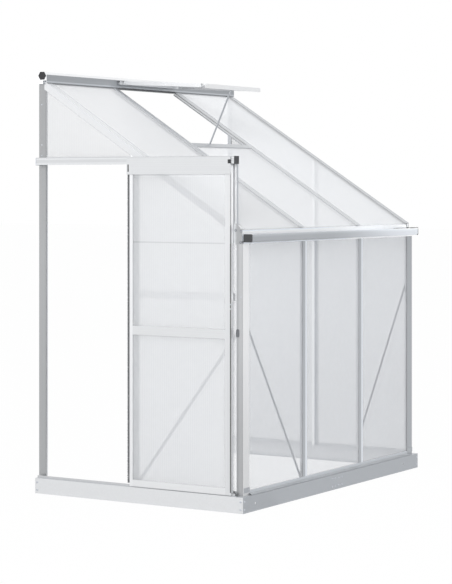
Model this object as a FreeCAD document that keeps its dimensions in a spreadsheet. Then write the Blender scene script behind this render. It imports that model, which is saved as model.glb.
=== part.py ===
import FreeCAD, Part

import math
import os
import re

import Sketcher

# Lean-to greenhouse of aluminium bars and clear sheet on a galvanised base.
#
# Millimetres. While modelling, x runs along the front from the outer face of
# the door end, y runs from the outer face of the front base to the house
# wall, and z runs up from the ground. Every sub-part is then placed so that
# the origin is the middle of the footprint on the ground.

doc = FreeCAD.newDocument("lean_to_greenhouse")
sheet = doc.addObject("Spreadsheet::Sheet", "sizes")

SIZES = {
    # base frame
    "base_long": 1917, "base_deep": 1271, "base_tall": 80, "base_sheet": 1.5,
    "base_flange": 62, "base_return": 25, "splice_half": 75, "splice_margin": 8,
    "corner_angle_leg": 50, "wall_plate_deep": 30,
    # how far the glazed walls stand in from the base
    "near_inset": 35, "far_inset": 32, "front_inset": 21,
    # bars and panes
    "skin": 1.6, "pane": 4, "pane_clear": 0.5, "edge_clear": 2, "bar_deep": 25,
    "bar_face": 44, "bar_web": 3, "inner_face": 30, "slot_half": 8, "slot_lip": 4,
    "corner_tube": 42, "corner_lap": 17, "side_lap": 12,
    "wall_tube": 34, "jamb_face": 50, "far_mid_face": 40, "wall_post_wide": 30,
    # sills
    "sill_seat": 10, "sill_flange": 23, "sill_drip_out": 16, "sill_drip_low": 7,
    # eave and gutter
    "eave_low": 1320, "eave_channel": 14, "gutter_rise": 8, "gutter_tall": 39,
    "gutter_out": 51, "gutter_chamfer": 6, "gutter_lip": 6, "gutter_near": 40,
    "gutter_far_gap": 57, "cap_thick": 3,
    # roof
    "roof_foot_y": 45, "roof_rise": 77.5, "roof_slope": 0.635, "rafter_face": 40,
    "rafter_deep": 24, "rafter_lap": 15, "gable_skin_deep": 38, "gable_inner_deep": 36,
    "rafter_box": 20, "roof_overhang": 4,
    # ridge
    "ridge_rise": 60.55, "ridge_tall": 46, "ridge_front": 56, "ridge_top_run": 26,
    "ridge_top_drop": 15, "ridge_lip": 13, "ridge_leg": 34, "ridge_leg_tall": 64,
    "ridge_near": 25, "ridge_far_gap": 24,
    # roof vent
    "vent_axis_out": 11, "vent_axis_drop": 33, "vent_droop": 3.1,
    "vent_long": 560, "vent_side_gap": 22, "vent_top": 14, "vent_low": 6,
    "vent_rail": 30, "vent_free_drop": 3, "bead_r": 4, "bead_neck": 2.4, "claw_wall": 2.2,
    "bead_clear": 0.3, "vent_hood": 6, "vent_seat": 12, "vent_lip": 6,
    "claw_open_up": 18, "claw_open_down": 56,
    "vent_sill_back": 550, "vent_sill_wide": 28, "vent_sill_deep": 20,
    # stay of the vent
    "stay_pivot_x": 950, "stay_wide": 15, "stay_thick": 2.5,
    "stay_pin_r": 3, "stay_pin_clear": 0.05, "stay_gap": 0.4, "peg_r": 3,
    "stay_long": 306, "peg_long": 5.4, "stay_slant": 14.8, "stay_back": 15, "stay_hang": 18,
    # door
    "door_open_y": 72, "door_wide": 619, "door_low": 84, "door_front": 5, "door_thick": 22,
    "door_stile": 34, "door_brush": 15, "door_top_tall": 48, "door_top_gap": 4,
    "door_cover_gap": 3, "door_mid_low": 852, "door_mid_tall": 45,
    "door_bottom_tall": 34, "door_slot": 8, "guide_rib": 2, "guide_tall": 13,
    "cover_sheet": 1.6, "door_cap": 16, "door_cap_low": 1, "door_cap_tall": 20, "brush_inset": 4,
    # track
    "track_drop": 93.075, "track_tall": 38, "track_front": 4, "track_start": 54,
    "track_groove_low": 12, "track_groove_high": 24, "track_groove": 2, "track_groove_deep": 0.6,
    "lintel_rise": 8, "lintel_tall": 33, "door_lap": 10, "bracket_thick": 3,
    "track_end_gap": 6, "track_slot_low": 11, "track_slot_high": 23, "track_cap": 10,
    "roller_r": 11, "roller_axle_r": 3, "roller_wide": 4, "roller_inset": 70,
    "roller_side": 0.8, "hanger_foot": 8, "foot_sheet": 2.5, "track_cap_low": 2,
    "hanger_thick": 3, "hanger_wide": 30, "axle_clear": 0.05, "roller_lift": 0.3,
    "door_meet": 1, "upright_start": 57, "upright_wide": 37, "upright_deep": 15,
    "bracket_start": 25, "bracket_end": 92, "bracket_rise": 66, "bracket_tall": 33,
    # gable cross bars, braces and joints
    "transom_low": 1040, "transom_tall": 35, "pane_joint_drop": 1, "joint_gap": 1,
    "mid_post_y": 650, "brace_thick": 2, "brace_half": 14,
    "near_brace_high": 1002, "near_brace_low": 94, "far_brace_high": 1059,
    "far_brace_low": 203, "side_brace_high": 907, "side_brace_low": 97,
    # fixings
    "bolt_r": 3, "head_r": 6, "head_tall": 2.5, "nut_r": 5.5, "nut_tall": 5,
    "bolt_row_low": 19, "bolt_row_high": 58, "bolt_end": 14, "splice_near": 17,
    "splice_far": 52, "anchor_r": 4.5, "anchor_near": 118, "anchor_far_in": 180, "anchor_z": 40,
    "wall_screw_r": 4, "wall_screw_low": 300, "wall_screw_step": 750,
    "cleat_tall": 25, "cleat_wide": 24, "cleat_thick": 3, "foot_plate_low": 14,
    "stud_r": 4, "stud_tall": 1.5, "far_stud_z": 870, "post_stud_drop": 171, "post_stud_pitch": 55,
    "cap_shell": 0.5, "cap_round": 6,
}

for row, (alias, value) in enumerate(SIZES.items(), start=1):
    sheet.set("A%d" % row, alias)
    sheet.set("B%d" % row, "%s" % value)
    sheet.setAlias("B%d" % row, alias)
doc.recompute()

# Places that many pieces share, as expressions
NEAR = "near_inset"
FAR = "(base_long - far_inset)"
FRONT = "front_inset"
WALL = "base_deep"
LAP_IN = "(skin + pane + 2 * pane_clear)"
LAP_BACK = "(2 * skin + pane + 2 * pane_clear)"
BAY = "((base_long - far_inset - near_inset) / 3)"
BAR_LEFT = "(near_inset + %s)" % BAY
BAR_RIGHT = "(near_inset + 2 * %s)" % BAY
STEEP = "sqrt(1 + roof_slope * roof_slope)"
CENTRE_X = "base_long / 2"
CENTRE_Y = "(base_deep + front_inset - gutter_out - cap_shell) / 2"
RIDGE_Y = "(base_deep - ridge_front)"
RIDGE_LEG_Y = "(base_deep - ridge_leg)"
SILL_TOP = "(base_tall + sill_flange)"
SILL_FLOOR = "(base_tall + sill_seat)"


def roof(y, drop="0"):
    """Height of the roof's outer plane at y, less a drop square to the slope."""
    return "(roof_foot_z + roof_slope * (%s - roof_foot_y) - (%s) * %s)" % (y, drop, STEEP)


PLACES = {
    # heights and lines that follow from the sizes
    "doorway_start": "door_open_y + door_wide - door_meet",
    "anchor_far": "base_long - anchor_far_in",
    "gutter_low": "eave_low + gutter_rise",
    "gutter_high": "gutter_low + gutter_tall",
    "roof_foot_z": "eave_low + roof_rise",
    "pane_joint": "eave_low - pane_joint_drop",
    "bracket_low": "eave_low + bracket_rise",
    "bracket_high": "bracket_low + bracket_tall",
    "ridge_high": roof(RIDGE_Y) + " + ridge_rise",
    "ridge_low": "ridge_high - ridge_tall",
    "ridge_leg_low": "ridge_high - ridge_leg_tall",
    "vent_axis_z": "ridge_high - vent_axis_drop",
    "vent_sill_y": "base_deep - vent_sill_back",
    "track_low": roof("doorway_start") + " - track_drop",
    "track_high": "track_low + track_tall",
    "lintel_low": "track_low + lintel_rise",
    "lintel_high": "lintel_low + lintel_tall",
    "door_top_high": "track_low - door_top_gap",
    "door_top_low": "door_top_high - door_top_tall",
    "door_cover_high": "track_high - door_cover_gap",
}

WORD = re.compile(r"[a-z][a-z_]*")


def bound(text):
    """An expression on the sheet: a place is written out, a size gets the sheet in front."""
    def worded(match):
        name = match.group(0)
        if name in PLACES:
            return "(%s)" % bound(PLACES[name])
        return "sizes." + name if name in SIZES else name
    return WORD.sub(worded, text)


places = doc.addObject("App::VarSet", "places")
for name in PLACES:
    places.addProperty("App::PropertyFloat", name, "Places")
    places.setExpression(name, bound(name))
doc.recompute()


def size(alias):
    """A size or a place as a plain number, for the few pieces made from solids."""
    return float(getattr(sheet if alias in SIZES else places, alias))


def place(piece):
    """Moves a finished piece so that the origin is the middle of the footprint."""
    piece.setExpression("Placement.Base.x", bound("-(%s)" % CENTRE_X))
    piece.setExpression("Placement.Base.y", bound("-(%s)" % CENTRE_Y))


def origin_plane(body, role):
    for feature in body.Origin.OriginFeatures:
        if feature.Role == role:
            return feature
    raise RuntimeError(role)


PLANES = {"x": ("YZ_Plane", ""), "y": ("XZ_Plane", "-"), "z": ("XY_Plane", "")}


def sketch(body, along, start):
    """An empty sketch square to one axis, at a bound distance along it."""
    role, sign = PLANES[along]
    drawn = body.newObject("Sketcher::SketchObject", body.Name + "_sketch")
    drawn.AttachmentSupport = [(origin_plane(body, role), "")]
    drawn.MapMode = "FlatFace"
    drawn.setExpression("AttachmentOffset.Base.z", bound("%s(%s)" % (sign, start)))
    return drawn


def loop(drawn, points):
    """One closed outline whose corners are bound to the sheet."""
    first = drawn.GeometryCount
    count = len(points)
    ring = [2 * math.pi * i / count for i in range(count)]
    rough = size("base_deep")
    corners = [FreeCAD.Vector(rough * math.cos(a), rough * math.sin(a), 0) for a in ring]
    for i in range(count):
        drawn.addGeometry(Part.LineSegment(corners[i], corners[(i + 1) % count]))
    for i in range(count):
        drawn.addConstraint(Sketcher.Constraint("Coincident", first + i, 2, first + (i + 1) % count, 1))
    for i, point in enumerate(points):
        for kind, value, text in zip(("DistanceX", "DistanceY"), corners[i], point):
            rule = drawn.addConstraint(Sketcher.Constraint(kind, -1, 1, first + i, 1, value))
            drawn.setExpression("Constraints[%d]" % rule, bound(text))


def circles(drawn, centres, radius):
    """Round holes of one bound radius at bound centres."""
    rough = size("base_flange")
    for across, up in centres:
        ring = Part.Circle(FreeCAD.Vector(rough, rough, 0), FreeCAD.Vector(0, 0, 1), size("bolt_r"))
        item = drawn.addGeometry(ring)
        rules = [("DistanceX", across), ("DistanceY", up)]
        for kind, text in rules:
            rule = drawn.addConstraint(Sketcher.Constraint(kind, -1, 1, item, 3, rough))
            drawn.setExpression("Constraints[%d]" % rule, bound(text))
        rule = drawn.addConstraint(Sketcher.Constraint("Radius", item, size("bolt_r")))
        drawn.setExpression("Constraints[%d]" % rule, bound(radius))


def pad(body, along, loops, start, stop):
    """Adds a prism between two bound distances along an axis."""
    drawn = sketch(body, along, start)
    for points in loops:
        loop(drawn, points)
    feature = body.newObject("PartDesign::Pad", body.Name + "_pad")
    feature.Profile = drawn
    feature.Reversed = along == "y"
    feature.setExpression("Length", bound("%s - (%s)" % (stop, start)))
    drawn.Visibility = False


def pocket(body, along, points=None, holes=None, start="0", deep=None):
    """Cuts a prism or round holes: right through, or from start for a bound depth."""
    drawn = sketch(body, along, start)
    if points:
        loop(drawn, points)
    if holes:
        circles(drawn, holes[0], holes[1])
    feature = body.newObject("PartDesign::Pocket", body.Name + "_cut")
    feature.Profile = drawn
    if deep:
        feature.Reversed = along != "y"
        feature.setExpression("Length", bound(deep))
    else:
        feature.Type = "ThroughAll"
        feature.SideType = "Symmetric"


NODES = []


def new_body(label, kept=True):
    body = doc.addObject("PartDesign::Body", label)
    body.Label = label
    if kept:
        place(body)
        NODES.append(body)
    return body


def bar(label, along, loops, start, stop, kept=True):
    """A straight bar of one section."""
    body = new_body(label, kept)
    pad(body, along, loops, start, stop)
    return body


def group(label, pieces):
    """Separate solids of one kind, kept as one sub-part."""
    whole = doc.addObject("Part::Compound", label)
    whole.Label = label
    whole.Links = pieces
    place(whole)
    NODES.append(whole)
    return whole


def made(label, solids):
    """A sub-part made from plain solids whose sizes are read from the sheet."""
    shape = solids[0] if len(solids) == 1 else Part.makeCompound(solids)
    piece = doc.addObject("Part::Feature", label)
    piece.Label = label
    piece.Shape = shape
    middle_x = size("base_long") / 2
    front_most = size("front_inset") - size("gutter_out") - size("cap_shell")
    middle_y = (size("base_deep") + front_most) / 2
    piece.Placement = FreeCAD.Placement(FreeCAD.Vector(-middle_x, -middle_y, 0), FreeCAD.Rotation())
    NODES.append(piece)
    return piece


def block(x0, x1, y0, y1, z0, z1):
    return Part.makeBox(x1 - x0, y1 - y0, z1 - z0, FreeCAD.Vector(x0, y0, z0))


def rod(radius, length, x, y, z, axis):
    return Part.makeCylinder(radius, length, FreeCAD.Vector(x, y, z), FreeCAD.Vector(*axis))


def rect(a0, a1, b0, b1):
    return [(a0, b0), (a1, b0), (a1, b1), (a0, b1)]


def mirrored(half, centre):
    """A section symmetric about a line: the half outline runs from front to back."""
    right = [("%s + %s" % (centre, u), v) for u, v in half]
    left = [("%s - (%s)" % (centre, u), v) for u, v in reversed(half)]
    return right + left


# Base frame of folded sheet

def base_section(outer, inward):
    """Folded C section: tall outer web, wide top flange, short bottom return."""
    return [
        (outer, "0"),
        ("%s %s base_return" % (outer, inward), "0"),
        ("%s %s base_return" % (outer, inward), "base_sheet"),
        ("%s %s base_sheet" % (outer, inward), "base_sheet"),
        ("%s %s base_sheet" % (outer, inward), "base_tall - base_sheet"),
        ("%s %s base_flange" % (outer, inward), "base_tall - base_sheet"),
        ("%s %s base_flange" % (outer, inward), "base_tall"),
        (outer, "base_tall"),
    ]


def mitre(body, corner, side, keep_front):
    """Cuts a base piece at 45 degrees at a front corner of the plan."""
    reach = "2 * base_flange"
    far = "%s %s %s" % (corner, side, reach)
    if keep_front:
        points = [("%s" % corner, "0"), (far, reach), ("%s" % corner, reach)]
    else:
        points = [("%s" % corner, "0"), (far, reach), (far, "0")]
    pocket(body, "z", points)


ROWS = ["bolt_row_low", "bolt_row_high"]
SPLICES = ["-splice_far", "-splice_near", "splice_near", "splice_far"]

left = bar("base_front_left", "x", [base_section("0", "+")], "0", CENTRE_X)
mitre(left, "0", "+", True)
left_cols = ["bolt_end", CENTRE_X + " - splice_far", CENTRE_X + " - splice_near"]
pocket(left, "y", holes=([(c, r) for c in left_cols for r in ROWS], "bolt_r"))
pocket(left, "y", holes=([("anchor_near", "anchor_z")], "anchor_r"))

right = bar("base_front_right", "x", [base_section("0", "+")], CENTRE_X, "base_long")
mitre(right, "base_long", "-", True)
right_cols = [CENTRE_X + " + splice_near", CENTRE_X + " + splice_far", "base_long - bolt_end"]
pocket(right, "y", holes=([(c, r) for c in right_cols for r in ROWS], "bolt_r"))
pocket(right, "y", holes=([("anchor_far", "anchor_z")], "anchor_r"))

side_cols = ["bolt_end", "base_deep - bolt_end"]
side_holes = [(c, r) for c in side_cols for r in ROWS]
for label, outer, inward in (("base_door_side", "0", "+"), ("base_far_side", "base_long", "-")):
    body = bar(label, "y", [base_section(outer, inward)], "0", WALL)
    mitre(body, outer, inward, False)
    pocket(body, "x", holes=(side_holes, "bolt_r"))

splice_holes = [("%s + %s" % (CENTRE_X, c), r) for c in SPLICES for r in ROWS]
splice = bar(
    "base_splice_plate", "y",
    [rect(CENTRE_X + " - splice_half", CENTRE_X + " + splice_half",
          "splice_margin", "base_tall - splice_margin")],
    "base_sheet", "2 * base_sheet")
pocket(splice, "y", holes=(splice_holes, "bolt_r"))


def angle_piece(label, outer, inward):
    """Folded corner angle inside the base, holed for the corner bolts."""
    def at(u):
        return "%s %s (%s)" % (outer, inward, u)
    points = [
        (at("base_sheet"), "base_sheet"), (at("corner_angle_leg"), "base_sheet"),
        (at("corner_angle_leg"), "2 * base_sheet"), (at("2 * base_sheet"), "2 * base_sheet"),
        (at("2 * base_sheet"), "corner_angle_leg"), (at("base_sheet"), "corner_angle_leg"),
    ]
    body = bar(label, "z", [points], "splice_margin", "base_tall - splice_margin", kept=False)
    pocket(body, "y", holes=([(at("bolt_end"), r) for r in ROWS], "bolt_r"))
    pocket(body, "x", holes=([("bolt_end", r) for r in ROWS], "bolt_r"))
    return body


def wall_plate(label, outer, inward):
    """Angle at the wall end of a side base, with a leg against the wall."""
    def at(u):
        return "%s %s (%s)" % (outer, inward, u)
    points = [
        (at("base_sheet"), "base_deep - wall_plate_deep"),
        (at("2 * base_sheet"), "base_deep - wall_plate_deep"),
        (at("2 * base_sheet"), "base_deep - base_sheet"),
        (at("wall_plate_deep"), "base_deep - base_sheet"),
        (at("wall_plate_deep"), "base_deep"), (at("base_sheet"), "base_deep"),
    ]
    body = bar(label, "z", [points], "splice_margin", "base_tall - splice_margin", kept=False)
    pocket(body, "x", holes=([("base_deep - bolt_end", r) for r in ROWS], "bolt_r"))
    return body


group("base_angles", [
    angle_piece("corner_angle_near", "0", "+"),
    angle_piece("corner_angle_far", "base_long", "-"),
    wall_plate("wall_angle_near", "0", "+"),
    wall_plate("wall_angle_far", "base_long", "-"),
])

# Sills on the base, with a seat for the panes and a sloped drip lip


def sill_loops(outer, inward, drip=True):
    def at(u):
        return "%s %s (%s)" % (outer, inward, u)
    outline = [
        (at("0"), "base_tall"), (at("bar_deep"), "base_tall"), (at("bar_deep"), SILL_FLOOR),
        (at(LAP_BACK), SILL_FLOOR), (at(LAP_BACK), SILL_TOP + " - skin"),
        (at(LAP_IN), SILL_TOP + " - skin"), (at(LAP_IN), SILL_FLOOR),
        (at("skin"), SILL_FLOOR), (at("skin"), SILL_TOP), (at("0"), SILL_TOP),
    ]
    if drip:
        out = "%s %s (0 - sill_drip_out)" % (outer, inward)
        outline += [
            (at("0"), SILL_FLOOR),
            (out, SILL_FLOOR + " - sill_drip_low"),
            (out, SILL_FLOOR + " - sill_drip_low - skin"),
            (at("0"), SILL_FLOOR + " - skin"),
        ]
    hollow = rect(at("skin"), at("bar_deep - skin"), "base_tall + skin", SILL_FLOOR + " - skin")
    return [outline, hollow]


POST_REACH = "(corner_tube + corner_lap)"
SIDE_REACH = "(bar_deep + side_lap)"
bar("front_sill", "x", sill_loops(FRONT, "+"),
    "%s + %s" % (NEAR, POST_REACH), "%s - %s" % (FAR, POST_REACH))
JAMB_LOW = "(doorway_start - jamb_face)"
WALL_POST_Y = "(base_deep - wall_tube)"
bar("door_side_sill", "y", sill_loops(NEAR, "+", drip=False), "%s + %s" % (FRONT, SIDE_REACH), JAMB_LOW)
bar("far_side_sill", "y", sill_loops(FAR, "-"),
    "%s + %s" % (FRONT, SIDE_REACH), WALL_POST_Y + " - side_lap")

# Posts and glazing bars


def corner_loops(outer, inward):
    """Tube with a wide lap over the front pane and a narrow lap over the side pane."""
    def at(u, v):
        return ("%s %s (%s)" % (outer, inward, u), "%s + %s" % (FRONT, v))
    reach = "(corner_tube + corner_lap)"
    outline = [
        at("0", "0"), at(reach, "0"), at(reach, "skin"), at("corner_tube", "skin"),
        at("corner_tube", LAP_IN), at(reach + " - edge_clear", LAP_IN),
        at(reach + " - edge_clear", LAP_BACK), at("corner_tube", LAP_BACK),
        at("corner_tube", "bar_deep"), at(LAP_BACK, "bar_deep"),
        at(LAP_BACK, SIDE_REACH + " - edge_clear"), at(LAP_IN, SIDE_REACH + " - edge_clear"),
        at(LAP_IN, "bar_deep"), at("skin", "bar_deep"), at("skin", SIDE_REACH),
        at("0", SIDE_REACH),
    ]
    hollow = [at("skin", "skin"), at("corner_tube - skin", "skin"),
              at("corner_tube - skin", "bar_deep - skin"), at("skin", "bar_deep - skin")]
    return [outline, hollow]


bar("corner_post_door_side", "z", corner_loops(NEAR, "+"), "base_tall", "eave_low")
bar("corner_post_far_side", "z", corner_loops(FAR, "-"), "base_tall", "eave_low")


def glazing_half():
    """Half section of a front bar: wide face, pane channel, inner lap and bolt slot."""
    def at(u, v):
        return (u, "%s + %s" % (FRONT, v))
    return [
        at("bar_face / 2", "0"), at("bar_face / 2", "skin"), at("bar_web / 2", "skin"),
        at("bar_web / 2", LAP_IN), at("inner_face / 2", LAP_IN), at("inner_face / 2", LAP_BACK),
        at("slot_half", LAP_BACK), at("slot_half", "bar_deep"), at("slot_half - slot_lip", "bar_deep"),
        at("slot_half - slot_lip", "bar_deep - skin"), at("slot_half - skin", "bar_deep - skin"),
        at("slot_half - skin", LAP_BACK),
    ]


def glazing_bar(label, centre):
    """Front bar whose laps are notched to stand over the sill."""
    body = bar(label, "z", [mirrored(glazing_half(), centre)], SILL_FLOOR, "eave_low", kept=False)
    notch = rect(FRONT + " - skin", "%s + %s" % (FRONT, LAP_BACK), SILL_FLOOR + " - skin", SILL_TOP)
    pocket(body, "x", notch)
    return body


group("front_glazing_bars", [
    glazing_bar("front_bar_left", BAR_LEFT), glazing_bar("front_bar_right", BAR_RIGHT)])

SKY = "(ridge_high + bar_deep)"


def under_roof(body, drop, low_y, high_y):
    """Cuts a side post off along the underside of the sloping gable rafter."""
    pocket(body, "x", [
        (low_y, roof(low_y, drop)), (high_y, roof(high_y, drop)), (high_y, SKY), (low_y, SKY)])


def shoulder(body, start, low_y, high_y):
    """Cuts the outer laps of a side post back below the skirt of the gable rafter."""
    pocket(body, "x", [
        (low_y, roof(low_y, "gable_skin_deep")), (high_y, roof(high_y, "gable_skin_deep")),
        (high_y, SKY), (low_y, SKY)], start=start, deep=LAP_BACK)


def wall_post_loops(outer, inward):
    """Tube against the wall with a lap over the side panes."""
    def at(u, v):
        return ("%s %s (%s)" % (outer, inward, u), "%s + %s" % (WALL_POST_Y, v))
    outline = [
        at("0", "0 - side_lap"), at("skin", "0 - side_lap"), at("skin", "0"), at(LAP_IN, "0"),
        at(LAP_IN, "edge_clear - side_lap"), at(LAP_BACK, "edge_clear - side_lap"),
        at(LAP_BACK, "0"), at("wall_post_wide", "0"), at("wall_post_wide", "wall_tube"),
        at("0", "wall_tube"),
    ]
    hollow = [at("skin", "skin"), at("wall_post_wide - skin", "skin"),
              at("wall_post_wide - skin", "wall_tube - skin"), at("skin", "wall_tube - skin")]
    return [outline, hollow]


screws = ["wall_screw_low", "wall_screw_low + wall_screw_step", "wall_screw_low + 2 * wall_screw_step"]
for label, outer, inward in (("wall_post_door_side", NEAR, "+"), ("wall_post_far_side", FAR, "-")):
    body = bar(label, "z", wall_post_loops(outer, inward), "base_tall", SKY)
    pocket(body, "x", [
        (WALL_POST_Y + " - 2 * side_lap", roof(WALL_POST_Y + " - 2 * side_lap", "rafter_deep")),
        (RIDGE_LEG_Y, roof(RIDGE_LEG_Y, "rafter_deep")), (RIDGE_LEG_Y, "ridge_leg_low"),
        (WALL + " + skin", "ridge_leg_low"), (WALL + " + skin", SKY + " + skin"),
        (WALL_POST_Y + " - 2 * side_lap", SKY + " + skin")])
    skirt = NEAR if inward == "+" else FAR + " - " + LAP_BACK
    shoulder(body, skirt, WALL_POST_Y + " - 2 * side_lap", WALL_POST_Y)
    centre = "%s %s wall_post_wide / 2" % (outer, inward)
    pocket(body, "y", holes=([(centre, z) for z in screws], "wall_screw_r"))


def side_post_loops(outer, inward, low, high, front_lap, back_lap):
    """Box post in a side wall, with laps over the panes beside it."""
    def at(u, y):
        return ("%s %s (%s)" % (outer, inward, u), y)
    inner_low = low + (" + side_lap" if front_lap else "")
    inner_high = high + (" - side_lap" if back_lap else "")
    outline = [at("0", low)]
    if front_lap:
        outline += [at("skin", low), at("skin", inner_low), at(LAP_IN, inner_low),
                    at(LAP_IN, low + " + edge_clear"), at(LAP_BACK, low + " + edge_clear"),
                    at(LAP_BACK, inner_low)]
    outline += [at("bar_deep", inner_low), at("bar_deep", inner_high)]
    if back_lap:
        outline += [at(LAP_BACK, inner_high), at(LAP_BACK, high + " - edge_clear"),
                    at(LAP_IN, high + " - edge_clear"), at(LAP_IN, inner_high),
                    at("skin", inner_high), at("skin", high)]
    outline += [at("0", high)]
    hollow = [at("skin", inner_low + " + skin"), at("bar_deep - skin", inner_low + " + skin"),
              at("bar_deep - skin", inner_high + " - skin"), at("skin", inner_high + " - skin")]
    return [outline, hollow]


jamb = bar("door_jamb_post", "z", side_post_loops(NEAR, "+", JAMB_LOW, "doorway_start", True, False),
           "base_tall", SKY)
under_roof(jamb, "rafter_deep", JAMB_LOW + " - skin", "doorway_start + skin")
shoulder(jamb, NEAR, JAMB_LOW + " - skin", "doorway_start + skin")
MID_LOW = "(mid_post_y - far_mid_face / 2)"
MID_HIGH = "(mid_post_y + far_mid_face / 2)"
mid = bar("far_side_mid_post", "z", side_post_loops(FAR, "-", MID_LOW, MID_HIGH, True, True),
          SILL_FLOOR, SKY)
under_roof(mid, "rafter_deep", MID_LOW + " - skin", MID_HIGH + " + skin")
shoulder(mid, FAR + " - " + LAP_BACK, MID_LOW + " - skin", MID_HIGH + " + skin")
pocket(mid, "y", rect(FAR + " + skin", "%s - %s" % (FAR, LAP_BACK), SILL_FLOOR + " - skin", SILL_TOP))


# Eave beam with its gutter, and the ridge


def eave_points():
    def at(y, z):
        return ("%s + (%s)" % (FRONT, y), z)
    ceiling = "(eave_low + eave_channel)"
    hook = "(eave_low + edge_clear)"
    wall_top = roof("(front_inset + bar_deep - skin)", LAP_BACK)
    out = "0 - gutter_out"
    return [
        at("0", "eave_low"), at("skin", "eave_low"), at("skin", ceiling), at(LAP_IN, ceiling),
        at(LAP_IN, hook), at(LAP_BACK, hook), at(LAP_BACK, ceiling),
        at("bar_deep - skin", ceiling), at("bar_deep - skin", hook), at("bar_deep", hook),
        at("bar_deep", wall_top), at("bar_deep - skin", wall_top),
        at("bar_deep - skin", ceiling + " + skin"), at("0", ceiling + " + skin"),
        at("0", "gutter_low + skin"),
        at(out + " + gutter_chamfer + skin / 2", "gutter_low + skin"),
        at(out + " + skin", "gutter_low + gutter_chamfer + skin / 2"),
        at(out + " + skin", "gutter_high - skin"), at(out + " + gutter_lip", "gutter_high - skin"),
        at(out + " + gutter_lip", "gutter_high"), at(out, "gutter_high"),
        at(out, "gutter_low + gutter_chamfer"), at(out + " + gutter_chamfer", "gutter_low"),
        at("0", "gutter_low"),
    ]


bar("eave_gutter", "x", [eave_points()], "gutter_near", "base_long - gutter_far_gap")

ridge_outline = [
    (RIDGE_Y, "ridge_low - ridge_lip"), (RIDGE_Y + " + skin", "ridge_low - ridge_lip"),
    (RIDGE_Y + " + skin", "ridge_low"), (RIDGE_LEG_Y, "ridge_low"),
    (RIDGE_LEG_Y, "ridge_leg_low"), (WALL, "ridge_leg_low"), (WALL, "ridge_high"),
    (RIDGE_Y + " + ridge_top_run", "ridge_high"), (RIDGE_Y, "ridge_high - ridge_top_drop"),
]
ridge_hollow = [
    (RIDGE_Y + " + skin", "ridge_low + skin"), (RIDGE_LEG_Y + " + skin", "ridge_low + skin"),
    (RIDGE_LEG_Y + " + skin", "ridge_leg_low + skin"), (WALL + " - skin", "ridge_leg_low + skin"),
    (WALL + " - skin", "ridge_high - skin"),
    (RIDGE_Y + " + ridge_top_run + skin / 2", "ridge_high - skin"),
    (RIDGE_Y + " + skin", "ridge_high - ridge_top_drop - skin / 2"),
]
bar("ridge_beam", "x", [ridge_outline, ridge_hollow], "ridge_near", "base_long - ridge_far_gap")

# Rafters

ROOF_END = "(roof_foot_y - roof_overhang)"
BEHIND_EAVE = "(front_inset + bar_deep)"


def slope_pad(body, x_low, x_high, top, deep, y_low=BEHIND_EAVE, y_high=RIDGE_LEG_Y):
    """A strip of the roof slope between two drops below its outer plane."""
    pad(body, "x", [[
        (y_low, roof(y_low, deep)), (y_high, roof(y_high, deep)),
        (y_high, roof(y_high, top)), (y_low, roof(y_low, top))]], x_low, x_high)


def gable_rafter(label, outer, inward):
    def strip(u_low, u_high, top, deep, **ends):
        low = "%s %s (%s)" % (outer, inward, u_low)
        high = "%s %s (%s)" % (outer, inward, u_high)
        if inward == "-":
            low, high = high, low
        slope_pad(body, low, high, top, deep, **ends)
    body = new_body(label)
    strip("0", "rafter_face", "0", "skin", y_low=ROOF_END)
    strip("0", "skin", "skin", "gable_skin_deep", y_low=ROOF_END)
    strip("rafter_box - skin", "rafter_box", "skin", "rafter_deep")
    strip("skin", "rafter_box - skin", "rafter_deep - skin", "rafter_deep")
    strip(LAP_IN, LAP_BACK, "rafter_deep", "gable_inner_deep")
    strip("rafter_box", "rafter_box + rafter_lap", LAP_IN, LAP_BACK, y_low=ROOF_END)


def middle_rafter(label, centre):
    def strip(half, top, deep, **ends):
        slope_pad(body, "%s - %s" % (centre, half), "%s + %s" % (centre, half), top, deep, **ends)
    body = new_body(label)
    strip("rafter_face / 2", "0", "skin", y_low=ROOF_END)
    strip("bar_web / 2", "skin", LAP_IN, y_low=ROOF_END)
    strip("inner_face / 2", LAP_IN, LAP_BACK, y_low=ROOF_END)
    strip("bar_web / 2", LAP_BACK, "rafter_deep - skin")
    strip("slot_half", "rafter_deep - skin", "rafter_deep")


gable_rafter("rafter_door_side", NEAR, "+")
middle_rafter("rafter_left", BAR_LEFT)
middle_rafter("rafter_right", BAR_RIGHT)
gable_rafter("rafter_far_side", FAR, "-")

VENT_SILL_LOW = "(vent_sill_y - vent_sill_wide / 2)"
VENT_SILL_HIGH = "(vent_sill_y + vent_sill_wide / 2)"
sill_from = BAR_LEFT + " + rafter_face / 2"
sill_to = BAR_RIGHT + " - rafter_face / 2"
vent_sill = new_body("vent_sill_bar")
slope_pad(vent_sill, sill_from, sill_to, "0", "skin", VENT_SILL_LOW, VENT_SILL_HIGH)
slope_pad(vent_sill, sill_from, sill_to, "skin", "vent_sill_deep",
          VENT_SILL_HIGH + " - bar_web", VENT_SILL_HIGH)
slope_pad(vent_sill, sill_from, sill_to, LAP_IN, LAP_BACK,
          VENT_SILL_LOW + " + edge_clear", VENT_SILL_HIGH + " - bar_web")

# Door track on its lintel and its free-standing upright

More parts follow.
